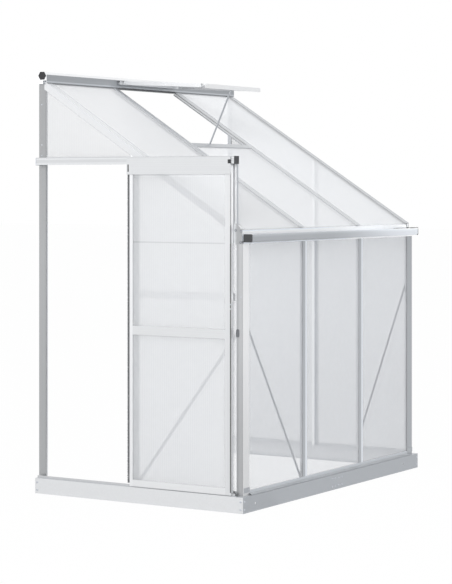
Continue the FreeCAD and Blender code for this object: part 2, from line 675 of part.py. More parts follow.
SLOT_LOW = "track_slot_low"
SLOT_HIGH = "track_slot_high"
track_points = [
    ("track_front", "track_low"), (SLOT_LOW, "track_low"), (SLOT_LOW, "track_low + skin"),
    ("track_front + skin", "track_low + skin"), ("track_front + skin", "track_high - skin"),
    (NEAR + " - skin", "track_high - skin"), (NEAR + " - skin", "track_low + skin"),
    (SLOT_HIGH, "track_low + skin"), (SLOT_HIGH, "track_low"), (NEAR, "track_low"),
    (NEAR, "track_high"), ("track_front", "track_high"),
]
for low, high in (("track_groove_low", "track_groove_low + track_groove"),
                  ("track_groove_high", "track_groove_high + track_groove")):
    shelf = "track_front + track_groove_deep"
    track_points += [
        ("track_front", "track_low + " + high), (shelf, "track_low + " + high),
        (shelf, "track_low + " + low), ("track_front", "track_low + " + low)]
track_points = track_points[:12] + track_points[16:20] + track_points[12:16]
bar("door_track", "y", [track_points], "track_start", "base_deep - track_end_gap")

lintel_lip = "(lintel_high - door_lap)"
bar("door_lintel", "y", [[
    (NEAR, "lintel_low"), (NEAR + " + bar_deep", "lintel_low"), (NEAR + " + bar_deep", lintel_lip),
    (NEAR + " + " + LAP_BACK, lintel_lip), (NEAR + " + " + LAP_BACK, "lintel_high - edge_clear"),
    (NEAR + " + " + LAP_IN, "lintel_high - edge_clear"), (NEAR + " + " + LAP_IN, lintel_lip),
    (NEAR + " + skin", lintel_lip), (NEAR + " + skin", "lintel_high"), (NEAR, "lintel_high"),
], rect(NEAR + " + skin", NEAR + " + bar_deep - skin", "lintel_low + skin", lintel_lip + " - skin")],
    "doorway_start", WALL_POST_Y + " - side_lap")

upright = bar("track_support_upright", "z", [[
    (NEAR, "upright_start"), (NEAR + " + upright_deep", "upright_start"),
    (NEAR + " + upright_deep", "upright_start + skin"), (NEAR + " + skin", "upright_start + skin"),
    (NEAR + " + skin", "upright_start + upright_wide - skin"),
    (NEAR + " + upright_deep", "upright_start + upright_wide - skin"),
    (NEAR + " + upright_deep", "upright_start + upright_wide"),
    (NEAR, "upright_start + upright_wide"),
]], "eave_low", "track_high")
pocket(upright, "x", [
    (ROOF_END, "eave_low - bar_deep"), ("2 * upright_start + upright_wide", "eave_low - bar_deep"),
    ("2 * upright_start + upright_wide", roof("(2 * upright_start + upright_wide)")),
    (ROOF_END, roof(ROOF_END))])

bar("track_support_bracket", "x", [[
    ("bracket_start", "eave_low"), ("bracket_end", "eave_low"), ("bracket_end", "bracket_high"),
    ("upright_start", "bracket_high"), ("bracket_start", "bracket_low"),
]], NEAR + " - bracket_thick", NEAR)

# Cross bar, braces and guide rail of the door side


def two_lip(at, low, high, lap):
    """Bar section with a pane seat on both edges."""
    return [
        at("0", low), at("skin", low), at("skin", "%s + %s" % (low, lap)),
        at(LAP_IN, "%s + %s" % (low, lap)), at(LAP_IN, low + " + edge_clear"),
        at(LAP_BACK, low + " + edge_clear"), at(LAP_BACK, "%s + %s" % (low, lap)),
        at("bar_deep", "%s + %s" % (low, lap)), at("bar_deep", "%s - %s" % (high, lap)),
        at(LAP_BACK, "%s - %s" % (high, lap)), at(LAP_BACK, high + " - edge_clear"),
        at(LAP_IN, high + " - edge_clear"), at(LAP_IN, "%s - %s" % (high, lap)),
        at("skin", "%s - %s" % (high, lap)), at("skin", high), at("0", high),
    ]


def near_at(u, z):
    return ("near_inset + " + u, z)


bar("door_side_transom", "y", [two_lip(near_at, "transom_low", "(transom_low + transom_tall)", "door_lap")],
    "%s + %s" % (FRONT, SIDE_REACH), JAMB_LOW)

guide_centre = "(door_front + door_thick / 2 - skin)"
bar("door_guide_rail", "y", [[
    ("door_front", "base_tall"), ("door_front + door_thick", "base_tall"),
    ("door_front + door_thick", "base_tall + skin"),
    (guide_centre + " + guide_rib / 2", "base_tall + skin"),
    (guide_centre + " + guide_rib / 2", "base_tall + guide_tall"),
    (guide_centre + " - guide_rib / 2", "base_tall + guide_tall"),
    (guide_centre + " - guide_rib / 2", "base_tall + skin"),
    ("door_front", "base_tall + skin"),
]], "track_start", "base_deep - track_end_gap")


def brace(label, along, start, a_low, z_low, a_high, z_high):
    """Flat diagonal strap behind the bars, cut off upright at both ends."""
    points = [
        (a_low, z_low + " - brace_half"), (a_high, z_high + " - brace_half"),
        (a_high, z_high + " + brace_half"), (a_low, z_low + " + brace_half")]
    return bar(label, along, [points], start, start + " + brace_thick", kept=False)


behind = "%s + bar_deep" % FRONT
side_brace = bar("door_side_brace", "x", [[
    (FRONT + " + bar_deep", "side_brace_high - brace_half"),
    (FRONT + " + bar_deep", "side_brace_high + brace_half"),
    (JAMB_LOW + " + side_lap + slot_half", "side_brace_low + brace_half"),
    (JAMB_LOW + " + side_lap + slot_half", "side_brace_low - brace_half"),
]], NEAR + " + bar_deep", NEAR + " + bar_deep + brace_thick", kept=False)
group("wall_braces", [
    brace("front_brace_near", "y", behind, NEAR + " + corner_tube / 2", "near_brace_high",
          BAR_LEFT, "near_brace_low"),
    brace("front_brace_far", "y", behind, BAR_RIGHT, "far_brace_low",
          FAR + " - corner_tube / 2", "far_brace_high"),
    side_brace,
])

# Panes, each in the channels of its bars

PANE_IN = "(skin + pane_clear)"
PANE_OUT = "(skin + pane_clear + pane)"
PANE_LOW = "(%s + edge_clear)" % SILL_FLOOR


def upright_pane(label, x_low, x_high):
    ceiling = "eave_low + eave_channel - edge_clear"
    return bar(label, "y", [rect(x_low, x_high, PANE_LOW, ceiling)],
               "%s + %s" % (FRONT, PANE_IN), "%s + %s" % (FRONT, PANE_OUT), kept=False)


WEB = "(bar_web / 2 + edge_clear)"
group("front_panes", [
    upright_pane("front_pane_1", NEAR + " + corner_tube + edge_clear", "%s - %s" % (BAR_LEFT, WEB)),
    upright_pane("front_pane_2", "%s + %s" % (BAR_LEFT, WEB), "%s - %s" % (BAR_RIGHT, WEB)),
    upright_pane("front_pane_3", "%s + %s" % (BAR_RIGHT, WEB), FAR + " - corner_tube - edge_clear"),
])


def roof_pane(label, x_low, x_high, y_high):
    body = new_body(label, kept=False)
    slope_pad(body, x_low, x_high, PANE_IN, PANE_OUT, ROOF_END, y_high)
    return body


PANE_TOP_Y = "(%s - edge_clear)" % RIDGE_LEG_Y
group("roof_panes", [
    roof_pane("roof_pane_1", NEAR + " + rafter_box + edge_clear", "%s - %s" % (BAR_LEFT, WEB), PANE_TOP_Y),
    roof_pane("roof_pane_2", "%s + %s" % (BAR_LEFT, WEB), "%s - %s" % (BAR_RIGHT, WEB),
              VENT_SILL_HIGH + " - bar_web - edge_clear"),
    roof_pane("roof_pane_3", "%s + %s" % (BAR_RIGHT, WEB), FAR + " - rafter_box - edge_clear", PANE_TOP_Y),
])


def side_pane(label, outer, inward, y_low, y_high, z_low, z_high=None):
    """Pane of a side wall: level on top, or cut to the slope under the rafter."""
    low = "%s %s %s" % (outer, inward, PANE_IN)
    high = "%s %s %s" % (outer, inward, PANE_OUT)
    if inward == "-":
        low, high = high, low
    drop = "(rafter_deep + edge_clear)"
    tops = (z_high, z_high) if z_high else (roof(y_low, drop), roof(y_high, drop))
    points = [(y_low, z_low), (y_high, z_low), (y_high, tops[1]), (y_low, tops[0])]
    return bar(label, "x", [points], low, high, kept=False)


SIDE_START = "(front_inset + bar_deep + edge_clear)"
JAMB_SEAT = "(%s + side_lap - edge_clear)" % JAMB_LOW
cross = "(transom_low + transom_tall)"
group("door_side_panes", [
    side_pane("side_pane_low", NEAR, "+", SIDE_START, JAMB_SEAT, PANE_LOW,
              "transom_low + door_lap - edge_clear"),
    side_pane("side_pane_middle", NEAR, "+", SIDE_START, JAMB_SEAT, cross + " - door_lap + edge_clear",
              "pane_joint - joint_gap / 2"),
    side_pane("side_pane_high", NEAR, "+", SIDE_START, JAMB_SEAT, "pane_joint + joint_gap / 2"),
    side_pane("side_pane_over_door", NEAR, "+", "(doorway_start + edge_clear)",
              "(%s - edge_clear)" % WALL_POST_Y, lintel_lip + " + edge_clear"),
])
group("far_side_panes", [
    side_pane("far_pane_front", FAR, "-", SIDE_START, "(%s + side_lap - edge_clear)" % MID_LOW, PANE_LOW),
    side_pane("far_pane_back", FAR, "-", "(%s - side_lap + edge_clear)" % MID_HIGH,
              "(%s - edge_clear)" % WALL_POST_Y, PANE_LOW),
])

# Black end caps of gutter, ridge and track


NEARLY_NONE = 1e-6


def soft_block(x0, x1, y0, y1, z0, z1, along, radius):
    """A block whose long edges along one axis are rounded."""
    solid = block(x0, x1, y0, y1, z0, z1)
    index = "xyz".index(along)
    edges = [e for e in solid.Edges
             if abs((e.Vertexes[1].Point - e.Vertexes[0].Point)[index]) > NEARLY_NONE]
    return solid.makeFillet(radius, edges)


def prism_x(points, x0, x1):
    corners = [FreeCAD.Vector(x0, y, z) for y, z in points]
    face = Part.Face(Part.makePolygon(corners + corners[:1]))
    return face.extrude(FreeCAD.Vector(x1 - x0, 0, 0))


LONG = size("base_long")
DEEP = size("base_deep")
SKIN = size("skin")
CAP = size("cap_thick")
SHELL = size("cap_shell")
near_x = size("near_inset")
far_x = LONG - size("far_inset")
front_y = size("front_inset")
gutter_ends = (size("gutter_near"), LONG - size("gutter_far_gap"))
ridge_ends = (size("ridge_near"), LONG - size("ridge_far_gap"))


def cap_pair(ends, shape):
    """The same cap outside the two ends of a bar."""
    return [shape(ends[0] - CAP, ends[0]), shape(ends[1], ends[1] + CAP)]


made("gutter_end_caps", cap_pair(gutter_ends, lambda x0, x1: soft_block(
    x0, x1, front_y - size("gutter_out") - SHELL, front_y - SHELL,
    size("gutter_low") - SHELL, size("gutter_high") + SHELL, "x", size("cap_round"))))

ridge_y = DEEP - size("ridge_front")
ridge_cap_points = [
    (ridge_y - SHELL, size("ridge_low")), (DEEP, size("ridge_low")),
    (DEEP, size("ridge_high") + SHELL),
    (ridge_y + size("ridge_top_run"), size("ridge_high") + SHELL),
    (ridge_y - SHELL, size("ridge_high") - size("ridge_top_drop")),
]
made("ridge_end_caps", cap_pair(ridge_ends, lambda x0, x1: prism_x(ridge_cap_points, x0, x1)))

track_x = size("track_front")
track_z = (size("track_low") - size("track_cap_low"), size("track_high") - SHELL)
track_end = DEEP - size("track_end_gap")
made("door_track_end_caps", [
    soft_block(track_x, near_x, size("track_start") - size("track_cap"), size("track_start"),
               track_z[0], track_z[1], "y", size("cap_round") / 2),
    soft_block(track_x, near_x, track_end, track_end + size("track_end_gap"),
               track_z[0], track_z[1], "y", size("cap_round") / 2),
])

# Screws, foot plates and cleats


def screw(x, y, z, axis, grip):
    """Cup head outside, shank through the sheets, nut inside; the axis points inward."""
    back = tuple(-a for a in axis)
    head = rod(size("head_r"), size("head_tall"), x, y, z, back)
    shank = rod(size("bolt_r"), grip + size("nut_tall"), x, y, z, axis)
    nut_at = (x + axis[0] * grip, y + axis[1] * grip, z + axis[2] * grip)
    nut = rod(size("nut_r"), size("nut_tall"), nut_at[0], nut_at[1], nut_at[2], axis)
    return head.fuse([shank, nut]).removeSplitter()


rows = (size("bolt_row_low"), size("bolt_row_high"))
end = size("bolt_end")
sheets = 2 * size("base_sheet")
middle = LONG / 2
front_cols = [end, middle - size("splice_far"), middle - size("splice_near"),
              middle + size("splice_near"), middle + size("splice_far"), LONG - end]
base_screws = [screw(x, 0, z, (0, 1, 0), sheets) for x in front_cols for z in rows]
for y in (end, DEEP - end):
    for z in rows:
        base_screws.append(screw(0, y, z, (1, 0, 0), sheets))
        base_screws.append(screw(LONG, y, z, (-1, 0, 0), sheets))
made("base_bolts", base_screws)

reach = size("corner_tube") + size("corner_lap")
plate = size("cleat_thick")
foot_low = size("base_tall") + size("foot_plate_low")
foot_high = foot_low + size("cleat_tall")
feet = [block(x, x + reach, front_y - plate, front_y, foot_low, foot_high)
        for x in (near_x, far_x - reach)]

bay = (far_x - near_x) / 3
bar_xs = (near_x + bay, near_x + 2 * bay)
back_y = front_y + size("bar_deep")
cleat = size("cleat_wide")
floor_z = size("base_tall")
cleat_top = floor_z + size("sill_seat") + size("cleat_tall")
feet += [block(x, x + cleat, back_y, back_y + plate, floor_z, cleat_top) for x in bar_xs]
made("post_and_bar_feet", feet)


def stud(x, y, z, axis, head):
    """A low round screw head lying on a face; the axis points outward."""
    return rod(head, size("stud_tall"), x, y, z, axis)


small = size("stud_r")
bracket_x = near_x - size("bracket_thick")
wall_mid = DEEP - size("wall_tube") / 2
bar_mid = front_y + size("bar_deep") / 2
transom_mid = size("transom_low") + size("transom_tall") / 2
jamb_mid = size("doorway_start") - size("jamb_face") / 2
post_stud = size("ridge_high") - size("post_stud_drop")
lintel_stud = size("lintel_high") + 2 * small
studs = [
    stud(bracket_x, size("bracket_start") + small + SKIN, size("bracket_low") - small, (-1, 0, 0), small),
    stud(bracket_x, size("upright_start") + small, size("bracket_low"), (-1, 0, 0), small),
    stud(bracket_x, bar_mid, size("eave_low") + 2 * small, (-1, 0, 0), small),
    stud(near_x, wall_mid, post_stud, (-1, 0, 0), small),
    stud(near_x, wall_mid, lintel_stud + size("post_stud_pitch"), (-1, 0, 0), small),
    stud(near_x, wall_mid, lintel_stud, (-1, 0, 0), small),
    stud(near_x, bar_mid, transom_mid, (-1, 0, 0), small),
    stud(near_x, jamb_mid, transom_mid, (-1, 0, 0), small),
    stud(far_x - size("corner_tube") / 2, front_y, size("far_stud_z"), (0, -1, 0), small),
    stud(far_x, wall_mid, post_stud, (1, 0, 0), small),
]
for x in bar_xs:
    studs.append(stud(x + cleat / 2, back_y + plate, cleat_top - 2 * small, (0, 1, 0), small))
made("frame_bolts", studs)

# Sliding door

DOOR_IN = "door_front"
DOOR_BACK = "(door_front + door_thick)"
DOOR_START = "door_open_y"
DOOR_END = "(door_open_y + door_wide)"
STILE_END = "(%s - door_brush)" % DOOR_END
RAIL_FROM = "(door_open_y + door_stile)"
RAIL_TO = "(%s - door_stile)" % DOOR_END
BOTTOM_TOP = "(door_low + door_bottom_tall)"
MID_TOP = "(door_mid_low + door_mid_tall)"


def stile_loops(low, high, lap_low):
    """Box stile whose lips hold the door panes on one edge."""
    def at(u, y):
        return ("%s + (%s)" % (DOOR_IN, u), y)
    inner = low + " + door_lap" if lap_low else high + " - door_lap"
    tip = low if lap_low else high
    inset = tip + (" + edge_clear" if lap_low else " - edge_clear")
    edge = high if lap_low else low
    outline = [
        at("0", tip), at("skin", tip), at("skin", inner), at(LAP_IN, inner), at(LAP_IN, inset),
        at(LAP_BACK, inset), at(LAP_BACK, inner), at("door_thick", inner), at("door_thick", edge),
        at("0", edge),
    ]
    near, far = (inner, edge) if lap_low else (edge, inner)
    hollow = [at("skin", near + " + skin"), at("door_thick - skin", near + " + skin"),
              at("door_thick - skin", far + " - skin"), at("skin", far + " - skin")]
    return [outline, hollow]


TOP_SEAT = "(door_top_low + door_lap)"
wall_low = "(%s - door_slot / 2)" % guide_centre
wall_high = "(%s + door_slot / 2)" % guide_centre
guide_room = "(base_tall + guide_tall + edge_clear)"
trailing = bar("door_trailing_stile", "z", stile_loops(DOOR_START, RAIL_FROM, False),
               "door_low", TOP_SEAT)
leading = bar("door_leading_stile", "z", stile_loops(RAIL_TO, STILE_END, True),
              "door_low", TOP_SEAT)
for stile in (trailing, leading):
    pocket(stile, "y", rect(wall_low, wall_high, "door_low - edge_clear", guide_room))


def door_at(u, z):
    return ("door_front + " + u, z)


def mid_rail_points():
    points = two_lip(door_at, "door_mid_low", MID_TOP, "door_lap")
    return [(x.replace("bar_deep", "door_thick"), z) for x, z in points]


bar("door_middle_rail", "y", [mid_rail_points()], RAIL_FROM, RAIL_TO)

top_rail = bar("door_top_rail", "y", [[
    ("cover_sheet", TOP_SEAT), (DOOR_IN, TOP_SEAT), (DOOR_IN, "door_top_low"),
    (DOOR_IN + " + skin", "door_top_low"), (DOOR_IN + " + skin", TOP_SEAT),
    (DOOR_IN + " + " + LAP_IN, TOP_SEAT), (DOOR_IN + " + " + LAP_IN, "door_top_low + edge_clear"),
    (DOOR_IN + " + " + LAP_BACK, "door_top_low + edge_clear"), (DOOR_IN + " + " + LAP_BACK, TOP_SEAT),
    (DOOR_BACK, TOP_SEAT), (DOOR_BACK, "door_top_high"), ("cover_sheet", "door_top_high"),
], rect("cover_sheet + skin", DOOR_BACK + " - skin", TOP_SEAT + " + skin", "door_top_high - skin")],
    DOOR_START, DOOR_END)
for low, high in ((DOOR_START + " - edge_clear", RAIL_FROM), (RAIL_TO, DOOR_END + " + edge_clear")):
    pocket(top_rail, "x", rect(low, high, "door_top_low - edge_clear", TOP_SEAT))

web_low = BOTTOM_TOP + " - door_lap - skin"
web_high = BOTTOM_TOP + " - door_lap"
bar("door_bottom_rail", "y", [[
    (DOOR_IN, "door_low"), (DOOR_IN + " + skin", "door_low"), (DOOR_IN + " + skin", web_low),
    (wall_low + " - skin", web_low), (wall_low + " - skin", "door_low + edge_clear"),
    (wall_low, "door_low + edge_clear"), (wall_low, web_low), (wall_high, web_low),
    (wall_high, "door_low + edge_clear"), (wall_high + " + skin", "door_low + edge_clear"),
    (wall_high + " + skin", web_low), (DOOR_BACK + " - skin", web_low),
    (DOOR_BACK + " - skin", "door_low"), (DOOR_BACK, "door_low"), (DOOR_BACK, web_high),
    (DOOR_IN + " + " + LAP_BACK, web_high), (DOOR_IN + " + " + LAP_BACK, BOTTOM_TOP + " - edge_clear"),
    (DOOR_IN + " + " + LAP_IN, BOTTOM_TOP + " - edge_clear"), (DOOR_IN + " + " + LAP_IN, web_high),
    (DOOR_IN + " + skin", web_high), (DOOR_IN + " + skin", BOTTOM_TOP), (DOOR_IN, BOTTOM_TOP),
]], RAIL_FROM, RAIL_TO)

PANE_FROM = "(%s - door_lap + edge_clear)" % RAIL_FROM
PANE_TO = "(%s + door_lap - edge_clear)" % RAIL_TO


def door_pane(label, z_low, z_high):
    return bar(label, "x", [rect(PANE_FROM, PANE_TO, z_low, z_high)],
               "door_front + " + PANE_IN, "door_front + " + PANE_OUT, kept=False)


group("door_panes", [
    door_pane("door_pane_low", web_high + " + edge_clear", "door_mid_low + door_lap - edge_clear"),
    door_pane("door_pane_high", MID_TOP + " - door_lap + edge_clear", TOP_SEAT + " - edge_clear"),
])

cover = bar("door_top_cover", "x", [rect(DOOR_START, DOOR_END, "door_top_low", "door_cover_high")],
            "0", "cover_sheet")
cap_low = "(track_low + door_cap_low)"
pocket(cover, "x", rect(DOOR_START + " - skin", DOOR_START + " + door_cap",
                        cap_low, cap_low + " + door_cap_tall"))

door_start = size("door_open_y")
door_end = door_start + size("door_wide")
door_x = size("door_front")
door_back = door_x + size("door_thick")
cover_x = size("cover_sheet")
stop_z = size("track_low") + size("door_cap_low")
made("door_stop_cap", [
    block(0, cover_x + SKIN, door_start, door_start + size("door_cap"),
          stop_z, stop_z + size("door_cap_tall"))])

brush_gap = size("brush_inset")
brush_start = door_end - size("door_brush")
guide_x = door_x + size("door_thick") / 2 - SKIN
slot = size("door_slot") / 2
guide_top = size("base_tall") + size("guide_tall") + size("edge_clear")
brush = block(door_x + brush_gap, door_back - brush_gap, brush_start, door_end,
              size("door_low"), size("door_top_low") + size("door_lap"))
made("door_brush_seal", [
    brush.cut(block(guide_x - slot, guide_x + slot, brush_start, door_end, 0, guide_top))])

# Rollers in the track and their hangers

roller_r = size("roller_r")
roller_z = size("track_low") + SKIN + size("roller_lift") + roller_r
slot_mid = (size("track_slot_low") + size("track_slot_high")) / 2
hang = size("hanger_thick") / 2
wheel = size("roller_wide")
front_wheel = track_x + SKIN + size("roller_side")
back_wheel = size("track_slot_high") + size("roller_side")
roller_ys = (door_start + size("roller_inset"), door_end - size("roller_inset"))
wide = size("hanger_wide") / 2


def roller(label, y):
    """Two treads on one axle, running on both lips of the track."""
    front = rod(roller_r, wheel, front_wheel, y, roller_z, (1, 0, 0))
    back = rod(roller_r, wheel, back_wheel, y, roller_z, (1, 0, 0))
    axle = rod(size("roller_axle_r"), back_wheel - front_wheel, front_wheel, y, roller_z, (1, 0, 0))
    made(label, [front.fuse([back, axle]).removeSplitter()])


def hanger(y):
    """Plate up through the track slot with a foot on the door's top rail."""
    top = size("door_top_high")
    arm = block(slot_mid - hang, slot_mid + hang, y - wide, y + wide, top, roller_z + roller_r / 2)
    foot = block(size("hanger_foot"), door_back - SKIN, y - wide, y + wide, top, top + size("foot_sheet"))
    bore = rod(size("roller_axle_r") + size("axle_clear"), door_back, 0, y, roller_z, (1, 0, 0))
    return arm.fuse(foot).removeSplitter().cut(bore)


roller("door_roller_trailing", roller_ys[0])
roller("door_roller_leading", roller_ys[1])
made("door_roller_hangers", [hanger(y) for y in roller_ys])

# Roof vent, hung on a bead along the ridge; drawn level about its hinge line

axis_y = ridge_y - size("vent_axis_out")
axis_z = size("vent_axis_z")
vent_place = FreeCAD.Placement(
    FreeCAD.Vector(0, axis_y, axis_z),
    FreeCAD.Rotation(FreeCAD.Vector(1, 0, 0), size("vent_droop")))


def tilted(label, solids, local=FreeCAD.Placement()):
    """A vent piece, drawn about the hinge line and set in its open pose."""
    piece = made(label, solids)
    piece.Placement = piece.Placement.multiply(vent_place).multiply(local)
    return piece


vent_x = (bar_xs[0] + size("vent_side_gap"), bar_xs[1] - size("vent_side_gap"))
top_z = size("vent_top")
low_z = -size("vent_low")
free_z = low_z - size("vent_free_drop")
free_y = -size("vent_long")
rail = size("vent_rail")
seat_low = top_z - SKIN - size("pane") - 2 * size("pane_clear")
seat = size("vent_seat")
lip = size("vent_lip")
bead = size("bead_r")
bore_r = bead + size("bead_clear")
claw_r = bore_r + size("claw_wall")

bead_solid = rod(bead, vent_x[1] - vent_x[0], vent_x[0], axis_y, axis_z, (1, 0, 0))
neck = block(vent_x[0], vent_x[1], axis_y, ridge_y, axis_z - size("bead_neck") / 2,
             axis_z + size("bead_neck") / 2)
strip = block(vent_x[0], vent_x[1], ridge_y - SKIN, ridge_y, axis_z - claw_r, axis_z + claw_r)
made("vent_hinge_bead", [bead_solid.fuse([neck, strip]).removeSplitter()])

hinge_points = [
    (-rail, top_z), (size("vent_hood"), top_z), (size("vent_hood"), top_z - SKIN),
    (-bead, top_z - SKIN), (-bead, low_z), (-seat, low_z), (-seat, seat_low - SKIN),
    (-rail + lip, seat_low - SKIN), (-rail + lip, seat_low), (-seat, seat_low),
    (-seat, top_z - SKIN), (-rail, top_z - SKIN),
]
claw = rod(claw_r, vent_x[1] - vent_x[0], vent_x[0], 0, 0, (1, 0, 0))
up = math.radians(size("claw_open_up"))
down = math.radians(size("claw_open_down"))
mouth_long = rail
mouth = prism_x([
    (0, 0), (mouth_long * math.cos(down), -mouth_long * math.sin(down)),
    (mouth_long * math.cos(up), mouth_long * math.sin(up))], vent_x[0], vent_x[1])
bore = rod(bore_r, vent_x[1] - vent_x[0], vent_x[0], 0, 0, (1, 0, 0))
hinge_rail = prism_x(hinge_points, vent_x[0], vent_x[1]).fuse(claw).cut(bore).cut(mouth)
tilted("vent_hinge_rail", [hinge_rail.removeSplitter()])


def side_rail(outer, inward):
    points = [
        (0, low_z), (seat, low_z), (seat, low_z + SKIN), (SKIN, low_z + SKIN),
        (SKIN, seat_low - SKIN), (rail - lip, seat_low - SKIN), (rail - lip, seat_low),
        (seat, seat_low), (seat, top_z - SKIN), (rail, top_z - SKIN), (rail, top_z), (0, top_z),
    ]
    corners = [FreeCAD.Vector(outer + inward * u, free_y + rail, z) for u, z in points]
    face = Part.Face(Part.makePolygon(corners + corners[:1]))
    return face.extrude(FreeCAD.Vector(0, -free_y - 2 * rail, 0))


tilted("vent_side_rails", [side_rail(vent_x[0], 1), side_rail(vent_x[1], -1)])

bottom_points = [
    (free_y, free_z), (free_y + seat, free_z), (free_y + seat, free_z + SKIN),
    (free_y + SKIN, free_z + SKIN), (free_y + SKIN, seat_low - SKIN),
    (free_y + rail - lip, seat_low - SKIN), (free_y + rail - lip, seat_low),
    (free_y + seat, seat_low), (free_y + seat, top_z - SKIN), (free_y + rail, top_z - SKIN),
    (free_y + rail, top_z), (free_y, top_z),
]
tilted("vent_bottom_rail", [prism_x(bottom_points, vent_x[0], vent_x[1])])

clear = size("edge_clear")
tilted("vent_pane", [block(
    vent_x[0] + seat + clear, vent_x[1] - seat - clear, free_y + seat + clear, -seat - clear,
    seat_low + size("pane_clear"), seat_low + size("pane_clear") + size("pane"))])

# Stay of the vent: a flat bar on a pin, its free end beside a peg on the sill bar

pivot = FreeCAD.Vector(size("stay_pivot_x"), free_y + size("stay_back"), free_z - size("stay_hang"))
stay_half = size("stay_wide") / 2
stay_t = size("stay_thick")
stay_long = size("stay_long")
pin_r = size("stay_pin_r")
gap = size("stay_gap")

sill_back = size("vent_sill_y") + size("vent_sill_wide") / 2
peg_end = sill_back + size("peg_long")
reach = peg_end + gap + stay_t - vent_place.multVec(pivot).y
drop = stay_long * math.cos(math.radians(size("stay_slant")))
lean_angle = math.degrees(math.asin(reach / drop))
lean = FreeCAD.Rotation(FreeCAD.Vector(1, 0, 0), lean_angle - size("vent_droop"))
slant = FreeCAD.Rotation(FreeCAD.Vector(0, 1, 0), size("stay_slant"))

stay_flat = block(-stay_half, stay_half, 0, stay_t, -stay_long, 0)
stay_ends = [rod(stay_half, stay_t, 0, 0, z, (0, 1, 0)) for z in (0, -stay_long)]
stay_holes = [rod(pin_r + size("stay_pin_clear"), 3 * stay_t, 0, -stay_t, z, (0, 1, 0))
              for z in (0, -stay_long)]
stay_shape = stay_flat.fuse(stay_ends).removeSplitter().cut(stay_holes)
stay = tilted("vent_stay", [stay_shape], FreeCAD.Placement(pivot, lean.multiply(slant)))

ear = block(-stay_half, stay_half, -gap - stay_t, -gap, -stay_half, size("stay_hang") + rail)
pin = rod(pin_r, 2 * gap + 2 * stay_t, 0, -gap - stay_t, 0, (0, 1, 0))
pin_head = rod(pin_r + SKIN, SKIN, 0, stay_t + gap, 0, (0, 1, 0))
ear_shape = ear.fuse([pin, pin_head]).removeSplitter()
ear_shape.Placement = FreeCAD.Placement(pivot, lean)
under_rail = block(pivot.x - rail, pivot.x + rail, free_y - 2 * rail, free_y + 2 * rail,
                   free_z, free_z + size("stay_hang") + 2 * rail)
tilted("vent_stay_bracket", [ear_shape.cut(under_rail)])

stay_end = vent_place.multiply(FreeCAD.Placement(pivot, lean.multiply(slant))).multVec(
    FreeCAD.Vector(0, 0, -stay_long))
made("vent_stay_peg", [
    rod(size("peg_r"), size("peg_long"), stay_end.x, sill_back, stay_end.z, (0, 1, 0))])

doc.recompute()
for item in doc.Objects:
    bad = [state for state in item.State if state in ("Invalid", "Error")]
    if bad:
        raise RuntimeError("%s failed: %s" % (item.Label, bad))

os.makedirs("parts", exist_ok=True)
for node in NODES:
    shape = node.Shape
    if shape.isNull() or not shape.isValid() or not shape.Solids:
        raise RuntimeError("%s has no sound shape" % node.Label)
    shape.exportStep("parts/%s.step" % node.Label)
print(len(NODES), "sub-parts")
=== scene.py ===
# %% [markdown]
# # A lean-to greenhouse of aluminium bars and twin-wall sheet
#
# The greenhouse stands against a house wall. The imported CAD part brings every
# bar, sheet, cap and screw at its right place, so this lesson gives them their
# finishes, adds the pieces that are too fine for the CAD part, and sets up the
# studio and the camera.

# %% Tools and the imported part
import math

import bpy
import numpy as np
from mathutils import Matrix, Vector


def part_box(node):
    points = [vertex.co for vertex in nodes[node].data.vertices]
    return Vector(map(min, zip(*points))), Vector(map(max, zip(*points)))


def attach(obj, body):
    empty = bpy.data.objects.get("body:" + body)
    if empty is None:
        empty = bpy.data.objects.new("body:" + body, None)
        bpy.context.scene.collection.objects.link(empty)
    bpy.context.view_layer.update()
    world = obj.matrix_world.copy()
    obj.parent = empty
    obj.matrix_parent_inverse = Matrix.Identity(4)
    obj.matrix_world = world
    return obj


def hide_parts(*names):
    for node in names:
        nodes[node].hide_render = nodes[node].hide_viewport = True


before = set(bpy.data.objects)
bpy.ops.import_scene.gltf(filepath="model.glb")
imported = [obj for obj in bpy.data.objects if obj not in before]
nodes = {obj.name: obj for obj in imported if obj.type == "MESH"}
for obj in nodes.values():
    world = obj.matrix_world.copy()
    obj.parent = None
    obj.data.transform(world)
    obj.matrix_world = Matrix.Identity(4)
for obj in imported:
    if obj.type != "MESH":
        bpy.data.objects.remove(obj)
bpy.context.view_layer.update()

# %% [markdown]
# ## Where things are
#
# Drawings of the greenhouse count in millimetres from its door-side front
# corner, and the part counts in metres from the middle of its footprint. One
# small function turns a drawn place into a scene place, so that the numbers
# below are the ones on the drawing. The axes run along the house wall, from
# the front backwards, and up.

# %% Drawn places
MM = 0.001
MIDDLE = np.array([958.5, 620.25, 0.0])
ALONG_WALL, DEPTH, UP = 0, 1, 2
WAYS = np.eye(3)  # a step of one along each axis
SLOPE = 0.635  # rise of the roof for each unit of depth


def at(*place):
    """Drawn millimetres to scene metres: take the middle away and divide by 1000."""
    return (np.array(place, float) - MIDDLE) / 1000


def placed(name, data):
    """A new object of the scene that shows this camera, lamp or mesh."""
    made = bpy.data.objects.new(name, data)
    bpy.context.scene.collection.objects.link(made)
    return made


print("front corner on the ground:", at(0, 0, 0))

# %% [markdown]
# ## Camera
#
# The photograph was taken level, from in front of the door end, with a long
# lens. Its horizon lies above the middle of the picture. A camera that is
# tilted down would show it there too, but upright bars would lean towards each
# other. A level camera gets it by a vertical shift, as an architect's lens
# does, and upright bars stay upright in the picture.

# %% Camera
PICTURE = (452, 584)
FOCAL_PIXELS = 1991.31
HORIZON_ROW = 186.95
HEADING = 31.805
EYE = (-9.2718, -5.67805, 1.5993)
SENSOR_WIDTH = 36
FARTHEST = 200

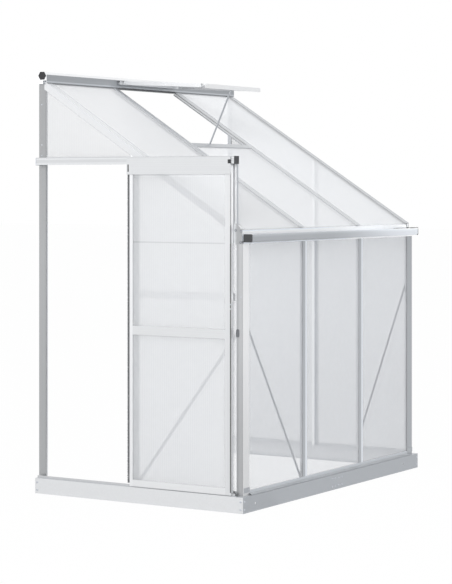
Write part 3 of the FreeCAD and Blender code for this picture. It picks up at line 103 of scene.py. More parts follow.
camera_data = bpy.data.cameras.new("camera")
camera_data.sensor_width = SENSOR_WIDTH
camera_data.lens = FOCAL_PIXELS * SENSOR_WIDTH / PICTURE[1]
camera_data.shift_y = (HORIZON_ROW - PICTURE[1] / 2) / PICTURE[1]
camera_data.clip_end = FARTHEST
camera = placed("camera", camera_data)
camera.location = EYE
camera.rotation_euler = (math.radians(90), 0, math.radians(HEADING - 90))
bpy.context.scene.camera = camera
print("lens %.2f mm, shift %.4f" % (camera_data.lens, camera_data.shift_y))

# %% [markdown]
# ## Colours as they are written
#
# A view transform can bend bright tones for a film look. The studio of the
# photograph is plain white, so the plain transform is chosen, and white stays
# white.

# %% View of colours
bpy.context.scene.view_settings.view_transform = "Standard"
print("view transform:", bpy.context.scene.view_settings.view_transform)

# %% [markdown]
# ## Helpers for nodes
#
# The world, the floor and each finish are small networks of nodes. One helper
# adds a node and feeds it, so that a network reads like its sketch on paper.
# The backdrop and the floor share an idea: what a camera, a gloss or a clear
# sheet sees of them is white, while the light that they give stays as it is.

# %% Helpers for nodes


def node(tree, kind, feeds=(), **settings):
    """Adds a node, sets its settings, and feeds its inputs by links or by values."""
    made = tree.nodes.new("ShaderNode" + kind)
    for key, value in settings.items():
        setattr(made, key, value)
    for socket, value in dict(feeds).items():
        if isinstance(value, bpy.types.NodeSocket):
            tree.links.new(value, made.inputs[socket])
        else:
            made.inputs[socket].default_value = value
    return made


def maths(tree, operation, *values, kind="Math", **settings):
    """One step of arithmetic on sockets or values."""
    return node(tree, kind, dict(enumerate(values)), operation=operation, **settings).outputs[0]


def sight(tree):
    """The largest of three marks: 1 for rays from the camera, from gloss or through a sheet."""
    rays = node(tree, "LightPath").outputs
    either = maths(tree, "MAXIMUM", rays["Is Camera Ray"], rays["Is Glossy Ray"])
    return maths(tree, "MAXIMUM", either, rays["Is Transmission Ray"])


def show(tree, output, share, lit, seen):
    """Links the output to a mix of two shaders, from the lit one to the seen one by a share."""
    blend = node(tree, "MixShader", {"Fac": share, 1: lit.outputs[0], 2: seen.outputs[0]})
    node(tree, output, {"Surface": blend.outputs[0]})


print("node helpers ready")

# %% [markdown]
# ## Studio
#
# Three large soft lamps and an even world light the greenhouse at a plain
# level. The door end looks brighter than the front in the photograph, so the
# two side lamps stand on the door end's side. A white backdrop could be a lit
# wall, but its light would wash out the bars. Here it is white only for the
# rays that see it.

# %% World
WORLD_LIGHT = 0.55

world = bpy.data.worlds.new("studio")
world.use_nodes = True
bpy.context.scene.world = world
tree = world.node_tree
tree.nodes.clear()
backdrop = node(tree, "Background", {"Color": (1, 1, 1, 1)})
lighting = node(tree, "Background", {"Color": (0.93, 0.96, 1, 1), "Strength": WORLD_LIGHT})
show(tree, "OutputWorld", sight(tree), lighting, backdrop)
print("world light", WORLD_LIGHT)

# %% Lamps


def lamp(name, place, target, size, brightness):
    """A square lamp that adds this brightness to a white card facing it at the target.

    A lamp of power P at a distance D gives a facing card the light P / (pi D^2),
    and the card looks as bright as that light divided by pi.
    """
    data = bpy.data.lights.new(name, "AREA")
    data.shape = "SQUARE"
    data.size = size
    away = np.subtract(place, target)
    data.energy = brightness * math.pi ** 2 * float(away @ away)
    made = placed(name, data)
    made.location = place
    tilt = math.atan2(math.hypot(away[0], away[1]), away[2])
    made.rotation_euler = (tilt, 0, math.atan2(away[1], away[0]) + math.pi / 2)
    print(name, "%.0f W" % data.energy)


CENTRE = (0, 0, 1.1)
lamp("key_lamp", (-6.5, -3.0, 5.0), CENTRE, size=4.0, brightness=0.45)
lamp("side_lamp", (-7.5, 5.5, 5.0), CENTRE, size=9.0, brightness=0.12)
lamp("top_lamp", (0.5, -1.0, 7.0), CENTRE, size=5.0, brightness=0.25)

# %% [markdown]
# ## Floor
#
# A plain pale floor runs out of the picture on all sides. Lit as a matt sheet
# alone it would be grey at its far end, so for the rays that see it most of
# its colour is plain white. The rest is the matt sheet, which keeps a soft
# shadow under the greenhouse.

# %% Floor
FLOOR_HALF = 60.0
FLOOR_WHITE = 0.985

floor_mesh = bpy.data.meshes.new("floor")
corners = [(x * FLOOR_HALF, y * FLOOR_HALF, 0) for x, y in ((-1, -1), (1, -1), (1, 1), (-1, 1))]
floor_mesh.from_pydata(corners, [], [(0, 1, 2, 3)])
placed("floor", floor_mesh)

pale_floor = bpy.data.materials.new("pale_floor")
pale_floor.use_nodes = True
tree = pale_floor.node_tree
tree.nodes.clear()
matt = node(tree, "BsdfDiffuse", {"Color": (0.82, 0.83, 0.84, 1)})
white = node(tree, "Emission")
show(tree, "OutputMaterial", maths(tree, "MULTIPLY", sight(tree), FLOOR_WHITE), matt, white)
floor_mesh.materials.append(pale_floor)
print("floor reaches", FLOOR_HALF, "m")

# %% [markdown]
# ## Shader node groups
#
# Several finishes share an effect. It could be drawn again in each of them,
# but a node group is built once and placed with its own values, so a change
# reaches every finish. One helper makes an empty group with its named inputs
# and outputs. The others are steps that most groups take.

# %% Helpers for node groups


def new_group(name, inputs, outputs):
    """An empty shader group with inputs (name, kind, default) and outputs (name, kind)."""
    print("group", name)
    group = bpy.data.node_groups.new(name, "ShaderNodeTree")
    for label, kind, default in inputs:
        socket = group.interface.new_socket(label, in_out="INPUT", socket_type="NodeSocket" + kind)
        socket.default_value = default
    for label, kind in outputs:
        group.interface.new_socket(label, in_out="OUTPUT", socket_type="NodeSocket" + kind)
    given, out = group.nodes.new("NodeGroupInput"), group.nodes.new("NodeGroupOutput")
    return group, given.outputs, out.inputs


def place_in(tree, across=None):
    """The place on the piece, or its distance along a direction: place . across."""
    place = node(tree, "TexCoord").outputs["Object"]
    if across is None:
        return place
    dot = node(tree, "VectorMath", {0: place, 1: across}, operation="DOT_PRODUCT")
    return dot.outputs["Value"]


def noise(tree, place, scale, detail, output="Fac"):
    """Noise at a place; a larger scale makes it finer."""
    made = node(tree, "TexNoise", {"Vector": place, "Scale": scale, "Detail": detail})
    return made.outputs[output]


print("group helpers ready")

# %% [markdown]
# ### Drawn lines of an extruded bar
#
# Aluminium bars are pushed through a die, which leaves fine lines along them.
# A wave pattern would be too even. Noise that is stretched along the bar gives
# lines of uneven strength. A rafter lies at a slope, so the group first turns
# the place about X by the slope, and then stretches it.

# %% Group for drawn lines


def build_drawn_lines():
    """Stretched noise: place turned by Slope about X, times Stretch, into noise."""
    group, given, out = new_group(
        "drawn_lines",
        [("Stretch", "Vector", (1, 1, 1)), ("Slope", "Float", 0.0)],
        [("Tone", "Float"), ("Height", "Float")])
    turned = node(group, "VectorRotate", {"Vector": place_in(group), "Angle": given["Slope"]},
                  rotation_type="X_AXIS").outputs["Vector"]
    drawn = maths(group, "MULTIPLY", turned, given["Stretch"], kind="VectorMath")
    fine = noise(group, drawn, 1.0, 3.0)
    both = maths(group, "ADD", fine, noise(group, drawn, 0.21, 1.0))
    group.links.new(maths(group, "MULTIPLY", both, 0.5), out["Tone"])
    group.links.new(fine, out["Height"])
    return group


drawn_lines = build_drawn_lines()

# %% [markdown]
# ### Handling marks
#
# New bars and sheets still carry a faint film of dust and finger marks. One
# noise alone looks like clouds. Two noises of different size, multiplied, give
# soft clouds that are broken up by specks.

# %% Group for handling marks
SPECKS_PER_CLOUD = 17.0


def build_handling():
    """Clouds: coarse noise times fine noise, spread to 0..1."""
    group, given, out = new_group("handling", [("Size", "Float", 4.0)], [("Film", "Float")])
    place = place_in(group)
    coarse = noise(group, place, given["Size"], 4.0)
    finer = maths(group, "MULTIPLY", given["Size"], SPECKS_PER_CLOUD)
    product = maths(group, "MULTIPLY", coarse, noise(group, place, finer, 2.0))
    spread = node(group, "MapRange", {"Value": product, "From Min": 0.05, "From Max": 0.5})
    group.links.new(spread.outputs["Result"], out["Film"])
    return group


handling = build_handling()

# %% [markdown]
# ### Zinc crystals
#
# The base is folded from galvanised sheet, whose zinc freezes in leaf-shaped
# crystals a centimetre wide. Noise has no edges, so it can't show them. Cells
# of a Voronoi pattern, bent a little, give each crystal its own tone.

# %% Group for zinc crystals
BEND = 0.012


def build_crystals():
    """Voronoi cells bent by noise; a cell's random colour is its tone."""
    group, given, out = new_group("zinc_crystals", [("Size", "Float", 90.0)], [("Tone", "Float")])
    place = place_in(group)
    wobble = noise(group, place, 60.0, 2.0, "Color")
    shift = maths(group, "MULTIPLY", wobble, (BEND, BEND, BEND), kind="VectorMath")
    bent = maths(group, "ADD", place, shift, kind="VectorMath")
    cells = node(group, "TexVoronoi", {"Vector": bent, "Scale": given["Size"]})
    parts = node(group, "SeparateColor", {"Color": cells.outputs["Color"]})
    group.links.new(parts.outputs[0], out["Tone"])
    return group


crystals = build_crystals()

# %% [markdown]
# ### Flutes of a twin-wall sheet
#
# The glazing has two thin walls, held apart by many upright webs that catch
# the light as faint lines. As solids they would be hundreds, so they are a
# pattern: the distance across the sheet, divided by the pitch, leaves a
# saw-tooth whose middle marks a web.

# %% Group for flutes


def build_flutes():
    """Web mask: 1 where the fraction of (place . Across / Pitch) is near a half."""
    group, given, out = new_group(
        "flutes", [("Across", "Vector", (1, 0, 0)), ("Pitch", "Float", 0.01)],
        [("Web", "Float")])
    count = maths(group, "DIVIDE", place_in(group, given["Across"]), given["Pitch"])
    off = maths(group, "SUBTRACT", maths(group, "FRACT", count), 0.5)
    web = node(group, "MapRange", {
        "Value": maths(group, "ABSOLUTE", off), "From Min": 0.05, "From Max": 0.16,
        "To Min": 1.0, "To Max": 0.0})
    group.links.new(web.outputs["Result"], out["Web"])
    return group


flutes = build_flutes()

# %% [markdown]
# ### Which way a face looks
#
# In the photograph a bar has one tone on the faces that look along the wall,
# another on those that look to the front, and a third on those that look up,
# because each set mirrors another part of the studio. The whole studio could
# be built, but a finish can paint these reflections and shades more simply:
# the object-space normal says which way a face looks, and its shares along X
# and Z are the masks for the painted tones.

# %% Group for the way a face looks


def build_facing():
    """Masks: size of the normal's X share, and its Z share above a low step."""
    group, given, out = new_group("facing", [("Step", "Float", 0.2)],
                                  [("Sideways", "Float"), ("Upward", "Float")])
    normal = node(group, "TexCoord").outputs["Normal"]
    shares = node(group, "SeparateXYZ", {"Vector": normal}).outputs
    sideways = maths(group, "ABSOLUTE", shares["X"], use_clamp=True)
    group.links.new(sideways, out["Sideways"])
    group.links.new(maths(group, "GREATER_THAN", shares["Z"], given["Step"]), out["Upward"])
    return group


facing = build_facing()

# %% [markdown]
# ### A band across a piece
#
# Painted light and shade often lies as a band at a fixed distance across a
# piece: a painted highlight along a lip, painted shade in a groove or under a
# ledge, a painted reflection on a fold that mirrors the studio. A dark joint
# is a band too. It has no thickness, so it belongs to the finish. The group
# measures the distance along a direction and is 1 between two values, with
# soft ends.

# %% Group for bands


def build_band():
    """Inside: rises from Low - Soft to Low + Soft along Across, and falls the same way at High."""
    group, given, out = new_group(
        "band", [("Across", "Vector", (0, 0, 1)), ("Low", "Float", 0.0), ("High", "Float", 1.0),
                 ("Soft", "Float", 0.001)], [("Inside", "Float")])
    distance = place_in(group, given["Across"])
    ramps = []
    for edge, start, end in (("Low", 0.0, 1.0), ("High", 1.0, 0.0)):
        ramp = node(group, "MapRange", {
            "Value": distance, "To Min": start, "To Max": end,
            "From Min": maths(group, "SUBTRACT", given[edge], given["Soft"]),
            "From Max": maths(group, "ADD", given[edge], given["Soft"])},
            interpolation_type="SMOOTHSTEP")
        ramps.append(ramp.outputs["Result"])
    group.links.new(maths(group, "MULTIPLY", *ramps), out["Inside"])
    return group


band = build_band()

# %% [markdown]
# ## Finishes
#
# Each finish is one material with a Principled shader. Masks from the groups
# change its colour, roughness and bump, while a number that is the same all
# over the surface is set on the shader itself. The helpers below are the few
# moves that every finish repeats.

# %% Helpers for finishes


def finish(name, metallic=0.0, roughness=0.5, ior=1.45):
    """A new material with a Principled shader; gives the material, its tree and the shader."""
    made = bpy.data.materials.new(name)
    made.use_nodes = True
    tree = made.node_tree
    shader = tree.nodes["Principled BSDF"]
    shader.inputs["Metallic"].default_value = metallic
    shader.inputs["Roughness"].default_value = roughness
    shader.inputs["IOR"].default_value = ior
    return made, tree, shader


def grouped(tree, group, **values):
    """Places a node group in a material with its own values."""
    made = tree.nodes.new("ShaderNodeGroup")
    made.node_tree = group
    for socket, value in values.items():
        made.inputs[socket].default_value = value
    return made


def mixed(tree, share, first, second, **settings):
    """Colour that goes from the first to the second with a share."""
    feeds = {"Factor": share, "A": first, "B": second}
    return node(tree, "Mix", feeds, data_type="RGBA", **settings).outputs["Result"]


def two_tones(tree, mask, dark, light):
    """Colour between two plain tones by a mask."""
    return mixed(tree, mask, (*dark, 1), (*light, 1))


def ranged(tree, mask, low, high):
    """A mask spread between two values."""
    return node(tree, "MapRange", {"Value": mask, "To Min": low, "To Max": high}).outputs["Result"]


def with_bands(tree, colour, bands):
    """Colour times the gain inside each band: axis, low, high and soft in drawn mm, gain."""
    for axis, low, high, soft, gain in bands:
        inside = grouped(tree, band, Across=WAYS[axis], Low=at(low, low, low)[axis],
                         High=at(high, high, high)[axis], Soft=soft * MM)
        colour = mixed(tree, inside.outputs["Inside"], colour, (gain, gain, gain, 1),
                       blend_type="MULTIPLY")
    return colour


def dented(tree, shader, height, strength, distance):
    """Bump: the shader's normal leans as the height rises and falls."""
    bump = node(tree, "Bump", {"Height": height, "Strength": strength, "Distance": distance})
    tree.links.new(bump.outputs["Normal"], shader.inputs["Normal"])


print("finish helpers ready")

# %% [markdown]
# ### Tones of metal
#
# A bar's painted light and shade is given as three greys, for the faces that
# look to the front, along the wall, and up. One colour would be simpler, but
# then a bar looks like painted wood. Each grey becomes a darker and a lighter
# tone, and the darker greys get a painted cool cast of light, as in the
# photograph.

# %% Tones of metal
# Painted cool cast of light, strongest on front faces and on darker greys
PALE_FROM, PALE_SPAN = 0.85, 0.25  # no cooling from 0.85 up, full cooling from 0.60 down
COOL_LIGHT_CAST = np.array([-0.035, 0.0, 0.045])
DARKER, DARK_TINT = 0.91, (0.99, 1.0, 1.01)
LIGHTER, LIGHT_TINT = 1.08, (0.995, 1.0, 1.01)


def shades(grey, blue):
    """The darker and the lighter tone of one grey; blue from 0 to 1 paints a cool cast of light on
    all but pale ones.
    """
    blue *= min(1.0, max(0.0, (PALE_FROM - grey) / PALE_SPAN))
    cool = 1 + blue * COOL_LIGHT_CAST
    return DARKER * grey * cool * DARK_TINT, LIGHTER * grey * cool * LIGHT_TINT


def painted_light_by_facing(tree, mask, front, side, top):
    """Painted light and shade: a tone between two shades by a mask, from one grey for each way a
    face looks.
    """
    ways = grouped(tree, facing)
    to_front, to_side, to_top = [two_tones(tree, mask, *shades(grey, blue))
                                 for grey, blue in ((front, 1.0), (side, 0.2), (top, 0.5))]
    flat = mixed(tree, ways.outputs["Sideways"], to_front, to_side)
    return mixed(tree, ways.outputs["Upward"], flat, to_top)


print("middle grey:", [tone.round(3).tolist() for tone in shades(0.58, 1.0)])

# %% [markdown]
# ### Aluminium
#
# Mill-finish aluminium is a pale metal with drawn lines along the bar. A full
# mirror would need the real studio around it, so its gloss is soft. Bars run
# in several directions, so the finish is made once for each direction and set
# of greys and bands, which paint the bar's light and shade.

# %% Aluminium
FINE, LONG = 900, 3
ALONG = {
    "x": ((LONG, FINE, FINE), 0.0), "y": ((FINE, LONG, FINE), 0.0), "z": ((FINE, FINE, LONG), 0.0),
    "roof": ((FINE, LONG, FINE), -math.atan(SLOPE)),
}
# Greys of painted light and shade for a pale bar: front, side and top
PALE = (0.88, 0.86, 0.80)


def aluminium(direction, greys, bands=()):
    """Pale metal whose tone, roughness and bump follow lines drawn along the bar; its greys and
    bands paint light and shade.
    """
    label = "_".join("%d" % round(100 * grey) for grey in greys)
    if bands:
        label += "_painted_bands"
    made, tree, shader = finish("aluminium_%s_%s" % (direction, label), metallic=0.8)
    stretch, slope = ALONG[direction]
    lines = grouped(tree, drawn_lines, Stretch=stretch, Slope=slope)
    film = grouped(tree, handling, Size=5.0)
    colour = painted_light_by_facing(tree, lines.outputs["Tone"], *greys)
    tree.links.new(with_bands(tree, colour, bands), shader.inputs["Base Color"])
    tree.links.new(ranged(tree, film.outputs["Film"], 0.32, 0.44), shader.inputs["Roughness"])
    dented(tree, shader, lines.outputs["Height"], 0.15, 0.3 * MM)
    return made


end_metal = aluminium("z", PALE)
print("directions:", sorted(ALONG))

# %% [markdown]
# ### Galvanised steel
#
# The base, the straps and the small plates are zinc-coated: duller than the
# bars, slightly blue, with crystals that change the tone and the gloss faintly,
# as on a new sheet. Their three greys paint light and shade by the way a face
# looks. The straps lie in another light, so they have their own painted greys.

# %% Galvanised steel


def build_galvanised(name, greys):
    """Dull metal with a faint tone and a roughness for each crystal, and painted light and shade
    by the way each face looks.
    """
    made, tree, shader = finish(name, metallic=0.75)
    cells = grouped(tree, crystals, Size=140.0)
    faint = ranged(tree, cells.outputs["Tone"], 0.4, 0.6)
    tree.links.new(painted_light_by_facing(tree, faint, *greys), shader.inputs["Base Color"])
    tree.links.new(ranged(tree, cells.outputs["Tone"], 0.38, 0.46), shader.inputs["Roughness"])
    return made


# Painted light and shade: greys for front, side and top; the straps' copy is lit otherwise
galvanised = build_galvanised("galvanised", (0.47, 0.71, 0.60))
galvanised_brace_painted_light = build_galvanised("galvanised_brace_painted_light", (0.16, 0.84, 0.50))
print(galvanised.name, galvanised_brace_painted_light.name)

# %% [markdown]
# ### Twin-wall sheet
#
# The sheets are milky but let shapes behind them through. True glass would be
# slow and too clear. A partly transparent plastic does it: the webs and the
# film of dust change how much comes through.

# %% Twin-wall sheet
WEB_PITCH = 0.0111


def clear_sheet(name, across, clear, tone, cool=0.012, bands=()):
    """Milky plastic with paler, denser webs; across is the axis over the webs."""
    made, tree, shader = finish(name, ior=1.58)
    made.surface_render_method = "BLENDED"
    webs = grouped(tree, flutes, Across=WAYS[across], Pitch=WEB_PITCH)
    film = grouped(tree, handling, Size=2.2)
    milky = tone * np.array([1.0, 1.0 + 0.25 * cool, 1.0 + cool])
    colour = two_tones(tree, webs.outputs["Web"], milky, 1.025 * milky)
    tree.links.new(with_bands(tree, colour, bands), shader.inputs["Base Color"])
    by_web = ranged(tree, webs.outputs["Web"], clear, clear + 0.02)
    by_film = ranged(tree, film.outputs["Film"], -0.006, 0.006)
    tree.links.new(maths(tree, "ADD", by_web, by_film), shader.inputs["Alpha"])
    tree.links.new(ranged(tree, film.outputs["Film"], 0.32, 0.35), shader.inputs["Roughness"])
    return made


print("web pitch", WEB_PITCH / MM, "mm")

# %% [markdown]
# ### The five kinds of sheet
#
# The sheets are one material on the real greenhouse, but each wall has another
# part of the studio behind it and another light on it, so each gets its own
# tone of painted light and shade. Where that changes within a wall, bands of
# painted shade and of painted light follow it, from low to high with a soft
# edge. One band is the dark joint of two door sheets.

# %% Sheets of the walls, the roof and the door
NO_LOW, NO_HIGH = -9000, 9000
# Painted shade beside the far rafter, in the first bay, low on the front and above the track;
FAR_RAFTER_SHADE = (ALONG_WALL, 1806, 1865, 14, 0.70)
# painted light in the last bay, beside the door and under the door's cover; a dark sheet joint
FIRST_BAY = (ALONG_WALL, NO_LOW, 651, 4, 0.88)
LAST_BAY = (ALONG_WALL, 1268, NO_HIGH, 4, 1.06)
LOW_FRONT = (UP, NO_LOW, 750, 350, 0.92)
ABOVE_TRACK = (UP, 1600, NO_HIGH, 100, 0.82)
BESIDE_DOOR = (DEPTH, 56, 88, 3, 1.14)
SHEET_JOINT = (UP, 1317.5, 1325, 1, 0.78)
UNDER_COVER = (UP, 1652, 1680, 4, 1.19)

# Each sheet's tone is painted light and shade for its wall
sheet_front = clear_sheet("sheet_front", ALONG_WALL, 0.32, tone=0.95, cool=0.03, bands=[LOW_FRONT])
sheet_roof = clear_sheet("sheet_roof", ALONG_WALL, 0.53, tone=0.935,
                         bands=[FAR_RAFTER_SHADE, FIRST_BAY, LAST_BAY])
sheet_side = clear_sheet("sheet_side", DEPTH, 0.34, tone=0.83)
sheet_door = clear_sheet("sheet_door", DEPTH, 0.34, tone=0.825, bands=[SHEET_JOINT, UNDER_COVER])
sheet_gable = clear_sheet("sheet_gable", DEPTH, 0.36, tone=0.88, bands=[ABOVE_TRACK, BESIDE_DOOR])
print(sheet_front.name, sheet_roof.name, sheet_side.name, sheet_door.name, sheet_gable.name)

# %% [markdown]
# ### Plastic, brush, rubber, nylon and zinc
#
# The end caps are black plastic with a fine grain. The door's leading edge
# carries a grey brush, its thin seals are dark rubber, which on the trailing
# edge also stands in for the shade in the gap behind the door, the rollers are
# white nylon, and the screws are bright zinc. Each is one noise between two
# close tones. The track's cap at the house wall is pale, so a band lifts its
# tone.

# %% Small finishes


def grained(name, dark, light, size, bands=(), **settings):
    """A plain finish with fine noise in its colour and bump."""
    made, tree, shader = finish(name, **settings)
    grain = noise(tree, place_in(tree), size, 3.0)
    colour = with_bands(tree, two_tones(tree, grain, dark, light), bands)
    tree.links.new(colour, shader.inputs["Base Color"])
    dented(tree, shader, grain, 0.3, 0.2 * MM)
    return made


BLACK = (0.035, 0.036, 0.038), (0.06, 0.061, 0.064)
WALL_END = (DEPTH, 1100, 1300, 10, 13)
black_plastic = grained("black_plastic", *BLACK, 900, roughness=0.5)
track_plastic = grained("track_plastic", *BLACK, 900, bands=[WALL_END], roughness=0.5)
dark_plastic = grained("dark_plastic", (0.012, 0.012, 0.013), (0.03, 0.03, 0.032), 900,
                       roughness=0.4)
grey_plastic = grained("grey_plastic", (0.13, 0.135, 0.145), (0.18, 0.185, 0.195), 900,
                       roughness=0.5)
brush_pile = grained("brush_pile", (0.12, 0.122, 0.126), (0.25, 0.253, 0.26), 1500, roughness=0.9)
edge_rubber = grained("edge_rubber", (0.02, 0.021, 0.022), (0.07, 0.072, 0.075), 1500,
                      roughness=0.9)
bead_rubber_and_slot_shade = grained("bead_rubber_and_slot_shade", (0.50, 0.505, 0.515), (0.60, 0.605, 0.615), 800,
                      roughness=0.6)
nylon = grained("nylon", (0.74, 0.73, 0.70), (0.82, 0.81, 0.78), 700, roughness=0.4)
bright_zinc = grained("bright_zinc", (0.46, 0.48, 0.52), (0.62, 0.64, 0.68), 1200,
                      metallic=0.9, roughness=0.35)
print("small finishes ready")

# %% [markdown]
# ## Finishes on the CAD pieces
#
# Each CAD node comes with the material slot of the record, which says the
# family of its finish, and its longest side says which way a bar runs. So only
# the exceptions are named.

# %% Finish for each slot and for the exceptions
DIRECTIONS = {
    "rafter_door_side": "roof", "rafter_left": "roof", "rafter_right": "roof",
    "rafter_far_side": "roof", "vent_side_rails": "y",
}
SHEETS = {
    "door_panes": sheet_door, "door_side_panes": sheet_gable, "far_side_panes": sheet_side,
    "front_panes": sheet_front, "roof_panes": sheet_roof, "vent_pane": sheet_roof,
}
SPECIAL = {
    "door_stop_cap": dark_plastic, "wall_braces": galvanised_brace_painted_light,
    "door_track_end_caps": track_plastic,
}
PLAIN = {
    "galvanised_steel": galvanised, "black_plastic": black_plastic, "zinc_screws": bright_zinc,
    "brush_seal": brush_pile, "nylon": nylon,
}
print("exceptions:", len(DIRECTIONS) + len(SPECIAL))

# %% [markdown]
# ### Greys of the bars
#
# These are the three greys of each bar: front, side and top. They paint the
# light and shade that each way a face gets, and a bar that lies in more light
# or in more shade gets greys of its own. Some bars also have bands of painted
# light and shade: highlights and shade lines on the track and the ridge, a
# highlight on the glazing bars, painted shade and light on the track's bracket
# and upright, and painted reflections of the floor and the lamps on the gutter
# and the posts.

# %% Greys and bands of the bars
USUAL = (0.58, 0.58, 0.58)
# Greys of painted light and shade: front, side and top of each bar
PAINTED_LIGHT_GREYS = {
    "wall_post_door_side": (0.80, 0.40, 0.60), "wall_post_far_side": (0.97, 0.95, 0.80),
    "corner_post_door_side": (0.86, 0.47, 0.60), "corner_post_far_side": (0.44, 0.46, 0.60),
    "far_side_mid_post": (0.45, 0.95, 0.80), "door_jamb_post": (0.88, 0.90, 0.80),
    "front_glazing_bars": (0.47, 0.56, 0.56), "door_side_transom": PALE,
    "track_support_upright": (0.60, 0.86, 0.80), "track_support_bracket": (0.55, 0.50, 0.60),
    "door_leading_stile": (0.84, 0.77, 0.74), "door_trailing_stile": (0.90, 0.68, 0.74),
    "door_top_rail": PALE, "door_middle_rail": (0.68, 0.68, 0.68),
    "door_bottom_rail": (0.74, 0.74, 0.74), "door_top_cover": (0.62, 0.62, 0.62),
    "door_lintel": (0.60, 0.60, 0.70), "eave_gutter": (0.45, 0.45, 0.80),
    "ridge_beam": (0.36, 0.60, 0.82), "rafter_door_side": (0.80, 0.66, 0.74),
    "rafter_left": (0.66, 0.64, 0.64), "rafter_right": (0.66, 0.64, 0.64),
    "rafter_far_side": (0.60, 0.55, 0.58), "vent_hinge_rail": (0.76, 0.76, 0.80),
    "vent_side_rails": (0.84, 0.80, 0.80), "vent_bottom_rail": (0.84, 0.80, 0.80),
    "vent_stay": PALE,
}
BAR_EDGES = (651.67, 1268.33)  # drawn X where the two front bars begin
PAINTED_LIGHT_BANDS = {
    # painted highlight on the ridge's lower lip and painted shade under it
    "ridge_beam": [(UP, 2146, 2153, 2, 1.5), (UP, 2134, 2143, 2, 0.75)],
    # painted reflections on the gutter's top and face, painted light on its far part
    "eave_gutter": [(DEPTH, 15, 80, 10, 1.9), (UP, 1361, 1380, 12, 1.35),
                    (ALONG_WALL, 1308.5, NO_HIGH, 550, 1.9)],
    # painted highlight on each front glazing bar
    "front_glazing_bars": [(ALONG_WALL, x + 3, x + 21, 1.5, 1.75) for x in BAR_EDGES],
    # painted light on the post's flange and painted shade on its lower part
    "corner_post_door_side": [(DEPTH, 28, 45, 5, 1.1), (UP, NO_LOW, 600, 400, 0.85)],
    # painted shade in the post's groove and on its upper part
    "wall_post_door_side": [(DEPTH, 1226, 1233, 1.5, 0.9), (UP, 1600, NO_HIGH, 500, 0.86)],
    # painted light and shade as stripes on the track's front
    "door_track": [(UP, 1714, 1725, 1, 1.12), (UP, 1741, 1747, 1, 1.15),
                   (UP, 1748, 1754, 1, 0.93)],
    # painted light over the door's shadow on the bracket, painted shade on its far part
    "track_support_bracket": [(DEPTH, 64, 95, 4, 2.0), (DEPTH, 20, 54, 4, 0.8)],
    # painted shade on the upright's front edge
    "track_support_upright": [(DEPTH, 56, 61, 1, 0.85)],
}
print("bars with greys of their own:", len(PAINTED_LIGHT_GREYS), "and with bands:", len(PAINTED_LIGHT_BANDS))

# %% Finish for each node
made_aluminium = {}


def direction_of(name):
    """The axis of the box's longest side, unless the piece is an exception."""
    if name in DIRECTIONS:
        return DIRECTIONS[name]
    low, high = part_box(name)
    return "xyz"[int(np.argmax(np.subtract(high, low)))]


def finish_of(name, slot):
    """The finish that a node gets from its slot, its name and its direction."""
    if slot == "clear_sheet":
        return SHEETS[name]
    if name in SPECIAL:
        return SPECIAL[name]
    if slot in PLAIN:
        return PLAIN[slot]
    key = (direction_of(name), PAINTED_LIGHT_GREYS.get(name, USUAL), tuple(PAINTED_LIGHT_BANDS.get(name, ())))
    if key not in made_aluminium:
        made_aluminium[key] = aluminium(*key)
    return made_aluminium[key]


for name, bar in nodes.items():
    for slot in bar.material_slots:
        slot.material = finish_of(name, slot.material.name.split(".")[0])
print("aluminium kinds:", len(made_aluminium))

# %% [markdown]
# ## New pieces
#
# The CAD part keeps its screws, caps and brush plain. The pieces below stand
# for them with their real shapes. Each is a closed surface worked out with
# whole arrays, so that one number can change it: a ring of corners for each
# step along the piece, and faces between neighbouring rings.

# %% Helpers for surfaces


def rings_to_faces(rings, count):
    """Quads between neighbouring rings of `count` corners each, numbered row by row."""
    row = np.arange(rings - 1)[:, None] * count
    here = np.arange(count)
    there = (here + 1) % count
    quads = np.stack([row + here, row + there, row + count + there, row + count + here], axis=-1)
    return quads.reshape(-1, 4).tolist()


def closed_rings(rings):
    """Corners and faces of rings (n, count, 3) whose first and last ring get a flat cover."""
    total, count = rings.shape[:2]
    first = list(range(count))[::-1]
    last = list(range((total - 1) * count, total * count))
    return rings.reshape(-1, 3), rings_to_faces(total, count) + [first, last]


def carried(outlines, places, axis):
    """Rings from flat outlines (n, count, 2), each one at its own place along an axis."""
    places = np.broadcast_to(np.array(places, float)[:, None], outlines.shape[:2])
    return np.insert(outlines, axis, places, axis=-1)


def scaled(outline, scale):
    """The outline once for each scale, shrunk about its middle."""
    middle = outline.mean(axis=0)
    return middle + np.array(scale)[:, None, None] * (outline - middle)


def repeated(corners, faces, frames, places):
    """Copies of one surface, each turned by its frame and moved to its place."""
    turned = np.einsum("vi,nij->nvj", corners, frames) + np.asarray(places)[:, None, :]
    step = len(corners)
    copied = [[corner + step * k for corner in face] for k in range(len(frames)) for face in faces]
    return turned.reshape(-1, 3), copied


def joined(*surfaces):
    """Several surfaces as one, with the face numbers of the later ones moved on."""
    corners = np.concatenate([surface[0] for surface in surfaces])
    starts = np.cumsum([0] + [len(surface[0]) for surface in surfaces])
    faces = [[corner + int(start) for corner in face]
             for surface, start in zip(surfaces, starts) for face in surface[1]]
    return corners, faces


def piece(name, surface, material, body):
    """A new object from corners in scene metres, riding on a body; reports its size."""
    mesh = bpy.data.meshes.new(name)
    mesh.from_pydata(np.asarray(surface[0]).tolist(), [], surface[1])
    mesh.materials.append(material)
    mesh.validate()
    made = placed(name, mesh)
    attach(made, body)
    print("%-22s %6d faces" % (name, len(mesh.polygons)))
    return made


# %% [markdown]
# ### Where the screws are
#
# The CAD nodes of the screws hold many separate solids, so their places are
# read from there and not written down again. Corners that share a triangle
# belong to the same solid: each corner starts with its own number, and the
# lowest number spreads over the triangles until nothing changes.

# %% Solids of a node


